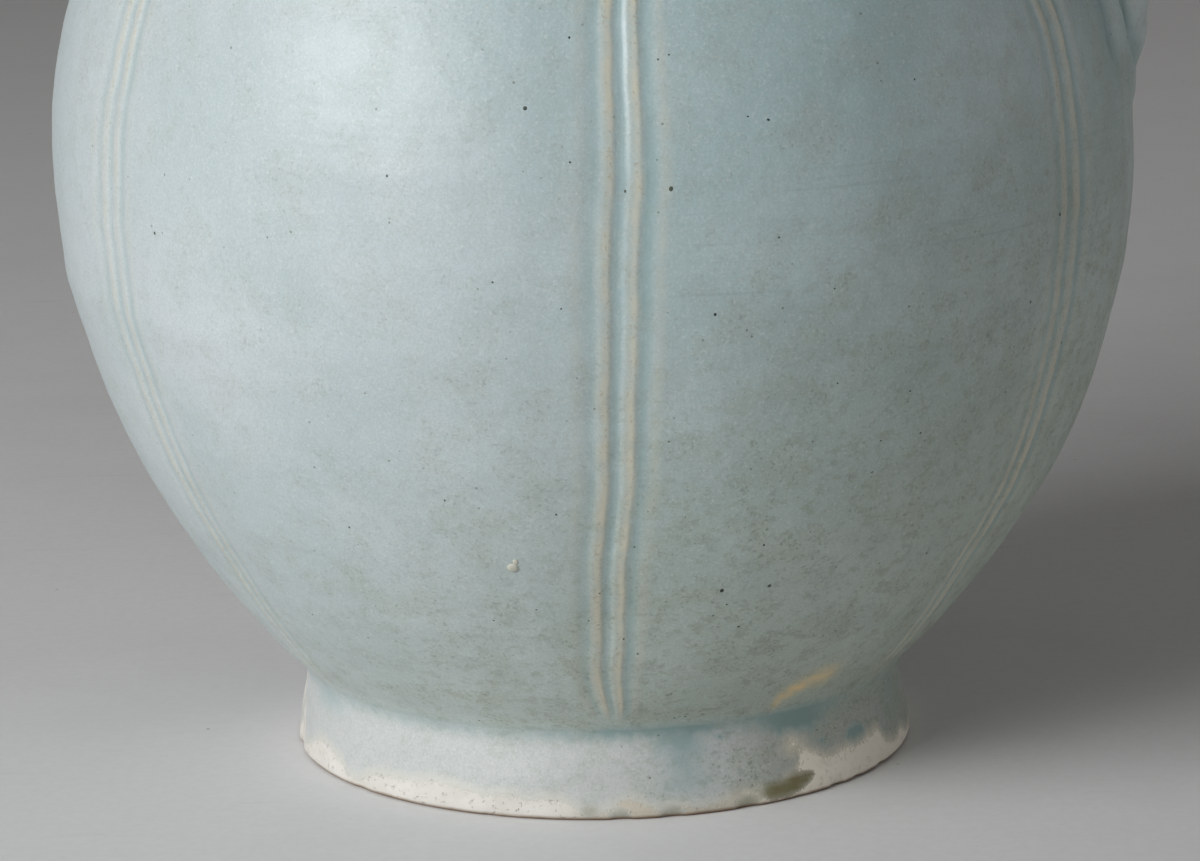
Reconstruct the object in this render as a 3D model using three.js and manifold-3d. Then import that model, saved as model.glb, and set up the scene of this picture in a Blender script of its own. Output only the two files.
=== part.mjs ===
// A lidded ewer: a melon-shaped glazed body of six lobes parted by double ribs, on a foot ring,
// with a waisted neck, a curved spout, a grooved strap handle and a domed lid that lifts off.
// Millimetres, +Z up. The origin is the centre of the circle that the foot stands on. The handle
// is on +X and the spout on -X.
import * as THREE from "three";
import { mergeVertices } from "three/addons/utils/BufferGeometryUtils.js";
import Module from "manifold-3d";

const wasm = await Module();
wasm.setup();

// Body: crest line of the lobes
const bellyRadius = 72.2;
const bellyHeight = 82.8;
const baseRadius = 40.2;
const lowerFullness = 1.87;
const seamHeight = 67.5;
const shoulderJoint = 104;
const shoulderHeight = 147.7;
const bodyWall = 5;
const floorThickness = 7;

// Double ribs: azimuth at belly height and lean, in degrees and degrees per mm; set by eye, so uneven
const ribs = [
  { azimuth: -149.2, lean: 0 },
  { azimuth: -87.9, lean: 0.027 },
  { azimuth: -32.3, lean: 0 },
  { azimuth: 30, lean: 0 },
  { azimuth: 90, lean: 0 },
  { azimuth: 150, lean: 0 },
];
const lobeDepth = 1.5;
const ridgeHeight = 0.4;
const ridgeSpacing = 3.5;
const ridgeWidth = 2.1;
const grooveDepth = 0.25;
const ribFootGap = 1.5;
const ribShoulderGap = 4;

// Foot ring
const footHeight = 11.7;
const footRadius = 41.4;
const footFlare = 0.6;
const footWidth = 6.8;
const footRecess = 6;

// Neck
const neckSeatRadius = 23;
const neckWaistRadius = 19.6;
const neckWaistShare = 0.49;
const mouthHeight = 179;
const mouthRadius = 25.6;
const neckWall = 3.4;
const collarSwell = 1;

// Spout
const spoutOverhang = 19.8;
const spoutTipHeight = 183;
const spoutRootHeight = 118;
const spoutRootRadius = 15.5;
const spoutTipRadius = 6.4;
const spoutWall = 2.7;
const pourHoleRadius = 6.5;

// Strap handle
const handleOverhang = 19.8;
const handleTopHeight = 193;
const handleRootHeight = 87;
const brimPassGap = 4;
const brimPassDrop = 6;
const strapWidth = 25;
const strapNeckWidth = 20;
const strapThickness = 5;
const strapGroove = 0.9;
const strapSeat = 2.5;
const strapUpright = 8;
const padWidth = 31;
const padLength = 14;
const padCrownRadius = 60;

// Tie loops
const loopRadius = 5;
const loopHoleRadius = 3.1;
const loopLength = 6.5;
const loopFootWidth = 4.6;

// Lid
const brimRadius = 27.2;
const brimThickness = 2.6;
const domeRadius = 19.4;
const domeHeight = 13;
const lidWall = 3;
const flangeDepth = 8;
const flangeWall = 2.6;
const flangeClearance = 0.9;
const finialSeatRadius = 4.6;
const finialHeight = 22.8;
const budRadius = 8;

// Gap between luted pieces
const joinGap = 0.3;

const roundSteps = 40;
const lobeSteps = 5;
const lowerRows = 10;
const upperRows = 13;
const spoutSteps = 18;
const spoutSides = 18;
const strapSteps = 32;
const finialSteps = 28;

const radians = THREE.MathUtils.degToRad;
const clamp = THREE.MathUtils.clamp;
const smooth = (low, high, value) => THREE.MathUtils.smoothstep(value, low, high);

// A closed geometry as a solid that can be joined and cut
function solidOf(geometry) {
  const bare = geometry.clone();
  bare.deleteAttribute("normal");
  bare.deleteAttribute("uv");
  const merged = mergeVertices(bare, 1e-4);
  const mesh = new wasm.Mesh({
    numProp: 3,
    vertProperties: merged.attributes.position.array,
    triVerts: new Uint32Array(merged.index.array),
  });
  return new wasm.Manifold(mesh);
}

// The faces of a solid as a geometry
function geometryOf(solid) {
  const mesh = solid.getMesh();
  const geometry = new THREE.BufferGeometry();
  geometry.setAttribute("position", new THREE.BufferAttribute(mesh.vertProperties, 3));
  geometry.setIndex(new THREE.BufferAttribute(mesh.triVerts, 1));
  const faceted = geometry.toNonIndexed();
  faceted.computeVertexNormals();
  return faceted;
}

// A profile of [radius, height] points, listed upwards on its outer side, turned about the vertical
function turned(profile, steps = roundSteps) {
  const points = profile.map(([radius, height]) => new THREE.Vector2(radius, height));
  return new THREE.LatheGeometry(points, steps).rotateX(Math.PI / 2);
}

// A closed skin through rings of points, with its ends closed by fans
function skin(rings) {
  const count = rings[0].length;
  const points = rings.flat();
  const faces = [];
  for (let i = 0; i < rings.length - 1; i++) {
    for (let j = 0; j < count; j++) {
      const a = i * count + j;
      const b = i * count + ((j + 1) % count);
      faces.push(a, b, b + count, a, b + count, a + count);
    }
  }
  for (const [ring, start] of [[rings[0], 0], [rings.at(-1), points.length - count]]) {
    const centre = ring.reduce((sum, p) => sum.add(p), new THREE.Vector3()).divideScalar(count);
    const hub = points.push(centre) - 1;
    for (let j = 0; j < count; j++) {
      const a = start + j;
      const b = start + ((j + 1) % count);
      if (start === 0) faces.push(hub, b, a);
      else faces.push(hub, a, b);
    }
  }
  const geometry = new THREE.BufferGeometry().setFromPoints(points);
  geometry.setIndex(faces);
  return geometry;
}

// Crest radius of the lobes at a height
const lowerDepth = (bellyHeight - footHeight)
  / (1 - (baseRadius / bellyRadius) ** 2) ** (1 / lowerFullness);
const upperDepth = (shoulderHeight - bellyHeight)
  / Math.sqrt(1 - (neckSeatRadius / bellyRadius) ** 2);

function crestRadius(height) {
  const drop = height < bellyHeight
    ? ((bellyHeight - height) / lowerDepth) ** lowerFullness
    : ((height - bellyHeight) / upperDepth) ** 2;
  return bellyRadius * Math.sqrt(Math.max(0, 1 - drop));
}

// Ribs: full over the belly, drawn together and flattened towards foot and neck
function ribStrength(height) {
  const low = footHeight + ribFootGap;
  const high = shoulderHeight - ribShoulderGap;
  return smooth(low, low + 4, height) * (1 - smooth(high - 8, high, height));
}

function lobeStrength(height) {
  return smooth(footHeight, footHeight + 20, height)
    * (1 - smooth(shoulderHeight - 16, shoulderHeight, height));
}

function ribNarrowing(height) {
  const low = smooth(footHeight, footHeight + 8, height);
  const high = 1 - smooth(shoulderHeight - 30, shoulderHeight, height);
  return 0.6 + 0.4 * low * high;
}

// Section across a double rib: [offset from its centre line, height above the wall]
const ridgeAt = ridgeSpacing / 2;
const halfRidge = ridgeWidth / 2;
const ribSide = [
  [ridgeAt - halfRidge * 0.4, ridgeHeight],
  [ridgeAt + halfRidge * 0.4, ridgeHeight],
  [ridgeAt + halfRidge * 1.5, -grooveDepth],
  [ridgeAt + halfRidge * 3, 0],
];
const ribSection = [
  ...ribSide.map(([across, out]) => [-across, out]).reverse(),
  [0, -grooveDepth * 0.6],
  ...ribSide,
];

// One level ring of the body's outer wall, grown outwards by a clearance
function bodyRing(height, grow) {
  const crest = crestRadius(height);
  const strength = ribStrength(height);
  const depth = lobeDepth * lobeStrength(height);
  const spread = ribNarrowing(height) / crest;
  const ribAngle = (rib) => radians(rib.azimuth + rib.lean * (height - bellyHeight));
  const ring = [];
  ribs.forEach((rib, i) => {
    const here = ribAngle(rib);
    const next = ribAngle(ribs[(i + 1) % ribs.length]) + (i === ribs.length - 1 ? 2 * Math.PI : 0);
    const before = ribAngle(ribs.at(i - 1)) - (i === 0 ? 2 * Math.PI : 0);
    for (const [across, out] of ribSection) {
      const off = across * spread;
      const half = (off < 0 ? here - before : next - here) / 2;
      const fromCrest = 1 - Math.abs(off) / half;
      ring.push([here + off, crest - depth * fromCrest ** 2 + out * strength]);
    }
    const edge = ribSection.at(-1)[0] * spread;
    const from = here + edge;
    const to = next - edge;
    for (let k = 1; k <= lobeSteps; k++) {
      const angle = from + ((to - from) * k) / (lobeSteps + 1);
      const fromCrest = (2 * (angle - here)) / (next - here) - 1;
      ring.push([angle, crest - depth * fromCrest ** 2]);
    }
  });
  return ring.map(([angle, radius]) => new THREE.Vector3(
    (radius + grow) * Math.cos(angle),
    (radius + grow) * Math.sin(angle),
    height,
  ));
}

// Ring heights, closer together where the wall leans most
const lowerHeights = Array.from({ length: lowerRows + 1 }, (_, i) =>
  seamHeight - (seamHeight - footHeight) * Math.cos((Math.PI / 2) * (i / lowerRows)));
const upperHeights = Array.from({ length: upperRows + 1 }, (_, i) =>
  seamHeight + (shoulderHeight - seamHeight) * Math.sin((Math.PI / 2) * (i / upperRows)));
lowerHeights[lowerRows] = seamHeight;
upperHeights[upperRows] = shoulderHeight;

const bodySolid = (heights, grow = 0) => solidOf(skin(heights.map((h) => bodyRing(h, grow))));

// Space inside the body: a bowl with a round floor, open at the neck's bore
const floorHeight = footRecess + floorThickness;
const innerRadius = (height) => crestRadius(height) - bodyWall;
const neckBoreAtSeat = neckSeatRadius - neckWall;

function interiorProfile(low, high, steps) {
  const profile = [];
  for (let i = 0; i <= steps; i++) {
    const height = low + ((high - low) * i) / steps;
    profile.push([Math.max(innerRadius(height), neckBoreAtSeat), height]);
  }
  return profile;
}

function lowerInterior() {
  const wallStart = floorHeight + 6;
  const top = seamHeight + 1;
  const edge = innerRadius(wallStart);
  return solidOf(turned([
    [0, floorHeight],
    [edge * 0.55, floorHeight + 0.8],
    [edge * 0.85, floorHeight + 3],
    ...interiorProfile(wallStart, top, 6),
    [0, top],
  ]));
}

function upperInterior() {
  const bottom = seamHeight - 1;
  const dome = shoulderHeight - bodyWall;
  return solidOf(turned([
    [0, bottom],
    ...interiorProfile(bottom, dome, 9),
    [neckBoreAtSeat, shoulderHeight + 1],
    [0, shoulderHeight + 1],
  ]));
}

// Foot: a ring whose outer side flares to the standing edge
const footInner = footRadius - footWidth;
const footTopRadius = baseRadius + joinGap;

function footRing() {
  const flareHeight = 2.6;
  const chamfer = 0.8;
  return turned([
    [footInner + chamfer, 0],
    [footRadius, 0],
    [footRadius + footFlare, flareHeight],
    [(footRadius + footFlare + footTopRadius) / 2 - 0.1, (flareHeight + footHeight) / 2],
    [footTopRadius, footHeight],
    [footInner + chamfer, footHeight],
    [footInner, footHeight - chamfer],
    [footInner, chamfer],
    [footInner + chamfer, 0],
  ]);
}

// Lower body: the floor reaches down inside the foot ring
function lowerBody() {
  const discRadius = footInner - joinGap;
  const disc = turned([
    [0, footRecess],
    [discRadius - 1, footRecess],
    [discRadius, footRecess + 1],
    [discRadius, footHeight + 1],
    [0, footHeight + 1],
  ]);
  return geometryOf(bodySolid(lowerHeights).add(solidOf(disc)).subtract(lowerInterior()));
}

// Spout: centre line in the plane y = 0, from inside the body to the tip
const spoutRootX = -crestRadius(spoutRootHeight);
const spoutTipX = -(bellyRadius + spoutOverhang - spoutTipRadius * 1.14);
const spoutRise = spoutTipHeight - spoutRootHeight;
const spoutSpan = spoutTipX - spoutRootX;
const spoutCurve = new THREE.CatmullRomCurve3([
  new THREE.Vector3(spoutRootX + 14, 0, spoutRootHeight - 9),
  new THREE.Vector3(spoutRootX, 0, spoutRootHeight),
  new THREE.Vector3(spoutRootX + spoutSpan * 0.55, 0, spoutRootHeight + spoutRise * 0.22),
  new THREE.Vector3(spoutRootX + spoutSpan * 0.82, 0, spoutRootHeight + spoutRise * 0.48),
  new THREE.Vector3(spoutRootX + spoutSpan * 0.9, 0, spoutRootHeight + spoutRise * 0.74),
  new THREE.Vector3(spoutTipX, 0, spoutTipHeight),
  new THREE.Vector3(spoutTipX - 2.5, 0, spoutTipHeight + 6),
], false, "centripetal");

// Outer radius of the tube: a flared root, a long taper and a slight lip
function spoutRadius(point) {
  const along = clamp((point.z - spoutRootHeight) / spoutRise, -0.2, 1.1);
  const taper = spoutTipRadius + (spoutRootRadius - spoutTipRadius) * (1 - clamp(along, 0, 1)) ** 1.7;
  const lip = 0.4 * smooth(0.94, 1, along);
  return taper + lip + (along < 0 ? -along * 8 : 0);
}

function tube(curve, radiusAt, sides, steps) {
  const rings = curve.getSpacedPoints(steps).map((centre, i) => {
    const tangent = curve.getTangentAt(i / steps);
    const out = new THREE.Vector3(-tangent.z, 0, tangent.x);
    const side = new THREE.Vector3(0, 1, 0);
    return Array.from({ length: sides }, (_, k) => {
      const turn = (2 * Math.PI * k) / sides;
      const radius = radiusAt(centre);
      return centre.clone()
        .addScaledVector(out, radius * Math.cos(turn))
        .addScaledVector(side, -radius * Math.sin(turn));
    });
  });
  return skin(rings);
}

function spout() {
  const outer = solidOf(tube(spoutCurve, spoutRadius, spoutSides, spoutSteps));
  const bore = solidOf(tube(spoutCurve, (p) => spoutRadius(p) - spoutWall, spoutSides, spoutSteps));
  const trim = spoutRootRadius * 4;
  const above = new THREE.BoxGeometry(trim, trim, trim)
    .translate(spoutTipX, 0, spoutTipHeight + trim / 2);
  return geometryOf(outer.subtract(bore).subtract(solidOf(above)).subtract(bodyCutter));
}

// Hole through the shoulder, in line with the start of the spout
function pourHole() {
  const from = spoutCurve.getPoint(0);
  const to = spoutCurve.getPoint(2 / 6);
  const along = to.clone().sub(from).normalize();
  const drill = new THREE.CylinderGeometry(pourHoleRadius, pourHoleRadius, bodyWall * 8, 20);
  const turn = new THREE.Quaternion().setFromUnitVectors(new THREE.Vector3(0, 1, 0), along);
  const wallPoint = new THREE.Vector3(spoutRootX, 0, spoutRootHeight);
  return solidOf(drill.applyQuaternion(turn).translate(wallPoint.x, 0, wallPoint.z));
}

// Upper body: the wall from the seam to the neck, parted at the shoulder joint
const upperWall = bodySolid(upperHeights).subtract(upperInterior()).subtract(pourHole());

function upperBody() {
  return geometryOf(upperWall.trimByPlane([0, 0, -1], -shoulderJoint));
}

function shoulder() {
  return geometryOf(upperWall.trimByPlane([0, 0, 1], shoulderJoint));
}

// Neck: outer radius at a height, a soft waist flaring to the mouth
const neckWaistHeight = shoulderHeight + (mouthHeight - shoulderHeight) * neckWaistShare;
const waistToMouth = mouthHeight - neckWaistHeight;
const waistToSeat = neckWaistHeight - shoulderHeight;

function neckOuter(height) {
  if (height > neckWaistHeight) {
    return neckWaistRadius
      + (mouthRadius - neckWaistRadius) * ((height - neckWaistHeight) / waistToMouth) ** 2;
  }
  return neckWaistRadius
    + (neckSeatRadius - neckWaistRadius) * ((neckWaistHeight - height) / waistToSeat) ** 2;
}

function neckOutline(grow) {
  const collarTop = 3.2;
  const lip = 3;
  const outline = [
    [neckSeatRadius + grow, shoulderHeight],
    [neckSeatRadius + collarSwell + grow, shoulderHeight + collarTop * 0.3],
    [neckSeatRadius + collarSwell + grow, shoulderHeight + collarTop * 0.7],
    [neckOuter(shoulderHeight + collarTop) + grow, shoulderHeight + collarTop],
  ];
  const from = shoulderHeight + collarTop + 3;
  const to = mouthHeight - lip;
  const steps = 5;
  for (let i = 0; i <= steps; i++) {
    const height = from + ((to - from) * i) / steps;
    outline.push([neckOuter(height) + grow, height]);
  }
  outline.push([mouthRadius + 0.6 + grow, mouthHeight - lip * 0.6]);
  outline.push([mouthRadius + 0.9 + grow, mouthHeight - lip * 0.25]);
  outline.push([mouthRadius + 0.2 + grow, mouthHeight]);
  return outline;
}

function neck() {
  const bore = [];
  const steps = 6;
  for (let i = 0; i <= steps; i++) {
    const height = mouthHeight - ((mouthHeight - shoulderHeight) * i) / steps;
    bore.push([neckOuter(height) - neckWall, height]);
  }
  const outline = neckOutline(0);
  return turned([...outline, ...bore, outline[0]]);
}

// What luted pieces are cut back to, so that they seat on body and neck
const bodyCutter = bodySolid([...lowerHeights, ...upperHeights.slice(1)], joinGap);
const neckCutter = solidOf(turned([
  [0, shoulderHeight],
  ...neckOutline(joinGap),
  [0, mouthHeight],
]));

// Handle: centre line of the strap in the plane y = 0, from the lobe crest over the top and down
// past the lid's brim to the neck
const halfStrap = strapThickness / 2;
const handleOutX = bellyRadius + handleOverhang - halfStrap;
const uprightHeight = handleRootHeight + strapUpright;
const handleStartX = crestRadius(uprightHeight) + halfStrap - strapSeat;
const handleTopZ = handleTopHeight - halfStrap;
const handleTopX = neckWaistRadius + (handleOutX - neckWaistRadius) * 0.55;
const rising = (out, up) => new THREE.Vector3(
  handleStartX + (handleOutX - handleStartX) * out,
  0,
  handleRootHeight + (handleTopZ - handleRootHeight) * up,
);
const brimPassX = brimRadius + brimPassGap;
const brimPassZ = mouthHeight - brimPassDrop;
const falling = (out, up) => new THREE.Vector3(
  brimPassX + (handleTopX - brimPassX) * out,
  0,
  brimPassZ + (handleTopZ - brimPassZ) * up,
);
const toNeck = (out, up) => new THREE.Vector3(
  neckWaistRadius + (brimPassX - neckWaistRadius) * out,
  0,
  neckWaistHeight + (brimPassZ - neckWaistHeight) * up,
);
const handleCurve = new THREE.CatmullRomCurve3([
  new THREE.Vector3(handleStartX, 0, handleRootHeight),
  new THREE.Vector3(handleStartX, 0, uprightHeight),
  rising(0.04, 0.16),
  rising(0.47, 0.33),
  rising(0.86, 0.51),
  rising(1, 0.68),
  rising(0.76, 0.85),
  rising(0.05, 0.97),
  new THREE.Vector3(handleTopX, 0, handleTopZ),
  falling(0.46, 0.63),
  falling(0, 0),
  toNeck(0.13, 0.1),
  toNeck(-1, -0.33),
], false, "centripetal");

// Half of the strap's section: [share of half the width, share of half the thickness, in a groove]
const strapOutline = [
  [1, 0, 0],
  [0.96, 0.7, 0],
  [0.8, 1, 0],
  [0.52, 1, 0],
  [0.36, 1, 1],
  [0.2, 1, 0],
  [-0.2, 1, 0],
  [-0.36, 1, 1],
  [-0.52, 1, 0],
  [-0.8, 1, 0],
  [-0.96, 0.7, 0],
  [-1, 0, 0],
  [-0.94, -0.8, 0],
  [-0.4, -1, 0],
  [0.4, -1, 0],
  [0.94, -0.8, 0],
];

function handleStrap() {
  const length = handleCurve.getLength();
  const rings = Array.from({ length: strapSteps + 1 }, (_, i) => {
    const share = (i / strapSteps) ** 1.35;
    const centre = handleCurve.getPointAt(share);
    const tangent = handleCurve.getTangentAt(share);
    const along = length * share;
    const left = length - along;
    const out = new THREE.Vector3(tangent.z, 0, -tangent.x);
    const end = clamp(along / (padLength * 0.5), 0, 1);
    const roundEnd = Math.sqrt(1 - (1 - end) ** 2) * 0.75 + 0.25;
    const onPad = 1 - smooth(padLength * 0.5, padLength * 1.6, along);
    const nearNeck = smooth(0.6, 1, along / length);
    const plainWidth = strapWidth + (strapNeckWidth - strapWidth) * nearNeck;
    const width = (plainWidth + (padWidth - plainWidth) * onPad) * roundEnd;
    const outThickness = halfStrap * (0.3 + 0.7 * end);
    const inThickness = halfStrap + 3 * onPad;
    const groove = strapGroove * smooth(padLength, padLength * 2, along) * smooth(12, 24, left);
    return strapOutline.map(([across, thick, grooved]) => {
      const height = thick > 0 ? thick * outThickness : thick * inThickness;
      const aside = across * width / 2;
      const crown = (onPad * aside ** 2) / (2 * padCrownRadius);
      return centre.clone()
        .addScaledVector(new THREE.Vector3(0, 1, 0), -aside)
        .addScaledVector(out, height - grooved * groove - crown);
    });
  });
  return geometryOf(solidOf(skin(rings)).subtract(bodyCutter).subtract(neckCutter));
}

// Tie loop: a short tube of clay on a narrow foot, its hole along Y
function tieLoop() {
  const halfFoot = loopFootWidth / 2;
  const sink = loopRadius - Math.sqrt(loopRadius ** 2 - halfFoot ** 2) + 0.3;
  const centre = loopRadius - sink + 0.6;
  const start = Math.asin(halfFoot / loopRadius) - Math.PI / 2;
  const outline = new THREE.Shape();
  outline.moveTo(-halfFoot, 0);
  outline.lineTo(halfFoot, 0);
  outline.absarc(0, centre, loopRadius, start, Math.PI - start, false);
  outline.closePath();
  outline.holes.push(new THREE.Path().absarc(0, centre, loopHoleRadius, 0, 2 * Math.PI, true));
  const geometry = new THREE.ExtrudeGeometry(outline, {
    depth: loopLength,
    bevelEnabled: false,
    curveSegments: 10,
  });
  return geometry.translate(0, 0, -loopLength / 2).rotateX(Math.PI / 2);
}

// Lid: dome on a flat brim, hollow underneath
const lidSeat = mouthHeight;
const brimTop = lidSeat + brimThickness;
const flangeRadius = neckOuter(mouthHeight - flangeDepth) - neckWall - flangeClearance;
const flangeInner = flangeRadius - flangeWall;
const domeTop = brimTop + domeHeight;

function domePoints(radius, low, high, endRadius, steps) {
  const rise = (high - low) / Math.sqrt(1 - (endRadius / radius) ** 2);
  const last = Math.acos(endRadius / radius);
  return Array.from({ length: steps + 1 }, (_, i) => {
    const turn = (last * i) / steps;
    return [radius * Math.cos(turn), low + rise * Math.sin(turn)];
  });
}

function lidCap() {
  const edge = 0.7;
  const stepHeight = 1.6;
  const inside = domePoints(flangeInner, brimTop, domeTop - lidWall, 0.001, 6).slice(0, -1);
  return turned([
    [flangeInner, lidSeat],
    [brimRadius - edge, lidSeat],
    [brimRadius, lidSeat + edge],
    [brimRadius, brimTop - edge],
    [brimRadius - edge, brimTop],
    [domeRadius + 0.6, brimTop],
    ...domePoints(domeRadius, brimTop + stepHeight, domeTop, finialSeatRadius, 7),
    [0, domeTop],
    [0, domeTop - lidWall],
    ...inside.reverse(),
    [flangeInner, lidSeat],
  ]);
}

function lidFlange() {
  const bottom = lidSeat - flangeDepth;
  return turned([
    [flangeInner + 0.5, bottom],
    [flangeRadius - 0.5, bottom],
    [flangeRadius, bottom + 0.8],
    [flangeRadius, lidSeat],
    [flangeInner, lidSeat],
    [flangeInner, bottom + 0.8],
    [flangeInner + 0.5, bottom],
  ]);
}

// Closed bud on a short stem, shares of its radius and height
function lidFinial() {
  const stem = finialSeatRadius - joinGap;
  const bud = [
    [0.6, 0.22],
    [0.85, 0.33],
    [1, 0.46],
    [0.96, 0.58],
    [0.8, 0.71],
    [0.52, 0.84],
    [0.2, 0.95],
  ];
  return turned([
    [0, domeTop],
    [stem, domeTop],
    [stem * 0.85, domeTop + finialHeight * 0.06],
    [stem * 0.75, domeTop + finialHeight * 0.14],
    ...bud.map(([across, up]) => [budRadius * across, domeTop + finialHeight * up]),
    [0, domeTop + finialHeight],
  ], finialSteps);
}

// Glaze colours from the vessel: pale blue-green, deeper where it pools
const glaze = new THREE.MeshStandardMaterial({ color: 0xc3d2d0, roughness: 0.3, metalness: 0 });
const ribGlaze = new THREE.MeshStandardMaterial({ color: 0xbccbc9, roughness: 0.3, metalness: 0 });
const bareClay = new THREE.MeshStandardMaterial({ color: 0xded7c8, roughness: 0.8, metalness: 0 });

const ewer = new THREE.Group();

function piece(name, geometry, material, parent = ewer) {
  const mesh = new THREE.Mesh(geometry, material);
  mesh.name = name;
  parent.add(mesh);
  return mesh;
}

piece("foot_ring", footRing(), bareClay);
piece("lower_body", lowerBody(), glaze);
piece("upper_body", upperBody(), glaze);
piece("shoulder", shoulder(), glaze);
piece("neck", neck(), glaze);
piece("spout", spout(), glaze);
piece("handle_strap", handleStrap(), ribGlaze);

// The handle's loop stands on the highest stretch of the strap
const handleLoop = piece("handle_loop", tieLoop(), glaze);
handleLoop.position.set(handleTopX, 0, handleTopHeight + joinGap);

const lid = new THREE.Group();
ewer.add(lid);
piece("lid_cap", lidCap(), glaze, lid);
piece("lid_flange", lidFlange(), bareClay, lid);
piece("lid_finial", lidFinial(), glaze, lid);
const lidLoop = piece("lid_loop", tieLoop(), glaze, lid);
lidLoop.position.set(brimRadius - 0.5 - loopFootWidth / 2, 0, brimTop);

export default ewer;
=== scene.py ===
import math

import bpy
import numpy as np
from mathutils import Matrix, Vector


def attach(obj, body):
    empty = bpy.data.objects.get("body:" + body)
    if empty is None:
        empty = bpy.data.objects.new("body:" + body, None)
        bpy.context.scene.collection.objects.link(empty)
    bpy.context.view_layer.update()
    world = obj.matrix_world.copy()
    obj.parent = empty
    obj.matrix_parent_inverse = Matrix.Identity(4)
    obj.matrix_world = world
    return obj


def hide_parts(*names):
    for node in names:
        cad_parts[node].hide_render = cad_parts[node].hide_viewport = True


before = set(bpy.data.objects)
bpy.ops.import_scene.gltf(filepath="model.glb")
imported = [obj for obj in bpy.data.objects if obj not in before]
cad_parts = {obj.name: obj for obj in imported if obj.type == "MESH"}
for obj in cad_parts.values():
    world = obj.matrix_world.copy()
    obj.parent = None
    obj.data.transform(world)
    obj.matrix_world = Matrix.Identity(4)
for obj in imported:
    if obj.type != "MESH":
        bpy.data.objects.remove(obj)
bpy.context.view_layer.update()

# Body
belly_radius = 72.2
belly_height = 82.8
base_radius = 40.2
lower_fullness = 1.87
shoulder_height = 147.7
body_wall = 5
floor_height = 13

# Ribs: azimuth at belly height, lean per mm of height, swerves as (degrees, height, reach)
ribs = [
    (-149.2, 0.0, [(0.5, 103, 14), (-0.4, 92, 5), (-0.5, 77, 6), (-0.9, 66, 14)]),
    (-87.9, 0.027, [(0.15, 98, 16), (-0.35, 108, 8), (0.3, 54, 12), (-0.2, 34, 9)]),
    (-32.3, 0.0, [(-1.8, 108, 7), (0.5, 50, 14)]),
    (30.0, 0.0, []),
    (90.0, 0.0, []),
    (150.0, 0.0, []),
]
front_rib = 1
lobes = len(ribs)
lobe_angle = 360 / lobes
lobe_depth = 1.5
ridge_height = 0.12
groove_depth = 0.07

# Foot ring
foot_height = 11.7
foot_radius = 41.4
foot_flare = 0.6
foot_slope = 0.166
foot_width = 6.8
foot_recess = 6

# Neck
neck_seat_radius = 23
neck_waist_radius = 19.6
neck_waist_height = 163.04
mouth_height = 179
mouth_radius = 25.6
neck_wall = 3.4

# Spout
spout_tip_x = -84.7
spout_tip_height = 183
spout_root_height = 118
spout_root_radius = 15.5
spout_tip_radius = 6.4
spout_wall = 2.7
pour_hole_radius = 6.5
pour_hole_length = 22
pour_hole_setback = 1.5

# Strap handle
handle_out_x = 89.44
handle_top_height = 193
handle_root_height = 87
luting_width = 48
luting_middle = 104
luting_low = 83
luting_rise = 0.75
strap_width = 25
strap_neck_width = 20
strap_thickness = 5
strap_groove = 0.9
strap_seat = 2.64
tongue_width = 30
tongue_length = 5
tongue_top = 101

# Tie loops
loop_radius = 5
loop_hole_radius = 3.1
loop_length = 6.5
loop_lift = 4.74
loop_steps = 56
lid_loop_inset = 2.8

# Lid
brim_radius = 27.2
brim_thickness = 2.6
dome_radius = 19.4
dome_height = 13
lid_wall = 3
flange_depth = 8
flange_outer = 16.79
flange_wall = 2.6
bud_stem_radius = 4.3
bud_radius = 8
bud_height = 22.8


def smooth(low, high, value):
    share = np.clip((np.asarray(value, float) - low) / (high - low), 0, 1)
    return share * share * (3 - 2 * share)


def bell(value, centre, width):
    return np.exp(-(((np.asarray(value, float) - centre) / width) ** 2))


def window(value, rise, top, fall, end):
    """0 up to rise, 1 from top to fall, 0 past end."""
    return smooth(rise, top, value) * (1 - smooth(fall, end, value))


def band(value, low, high, soft):
    """1 between low and high, 0 outside, with soft edges."""
    return window(value, low - soft, low + soft, high - soft, high + soft)


def wrapped(azimuth):
    """The same direction between -180 and 180 degrees."""
    return (azimuth + 180) % 360 - 180


def polar(points):
    """Azimuths and radii of points."""
    azimuth = np.degrees(np.arctan2(points[:, 1], points[:, 0]))
    return azimuth, np.hypot(points[:, 0], points[:, 1])


def placed(radius, azimuth, z):
    angle = np.radians(azimuth)
    return np.stack([radius * np.cos(angle), radius * np.sin(angle), z], axis=1)


def quarter(value):
    """A quarter circle, steep from 0 and level at 1."""
    return np.sqrt(np.clip(1 - (1 - value) ** 2, 0, 1))


def unit(vectors):
    return vectors / np.linalg.norm(vectors, axis=1, keepdims=True)


# Form of the wall

lower_depth = (belly_height - foot_height) / (1 - (base_radius / belly_radius) ** 2) ** (
    1 / lower_fullness
)
upper_depth = (shoulder_height - belly_height) / math.sqrt(
    1 - (neck_seat_radius / belly_radius) ** 2
)


def crest_radius(z):
    z = np.asarray(z, float)
    below = np.clip((belly_height - z) / lower_depth, 0, None) ** lower_fullness
    above = np.clip((z - belly_height) / upper_depth, 0, None) ** 2
    return belly_radius * np.sqrt(np.clip(1 - below - above, 0, None))


def rib_azimuth(index, z):
    azimuth, lean, swerves = ribs[index]
    drift = azimuth + lean * (np.asarray(z, float) - belly_height)
    for degrees, height, reach in swerves:
        drift = drift + degrees * bell(z, height, reach)
    if index == front_rib:
        drift = drift + 1.4 * (1 - smooth(13, 22, z))
    return drift


def rib_strength(z):
    return window(z, 13.0, 16.5, 135.7, 143.7)


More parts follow.
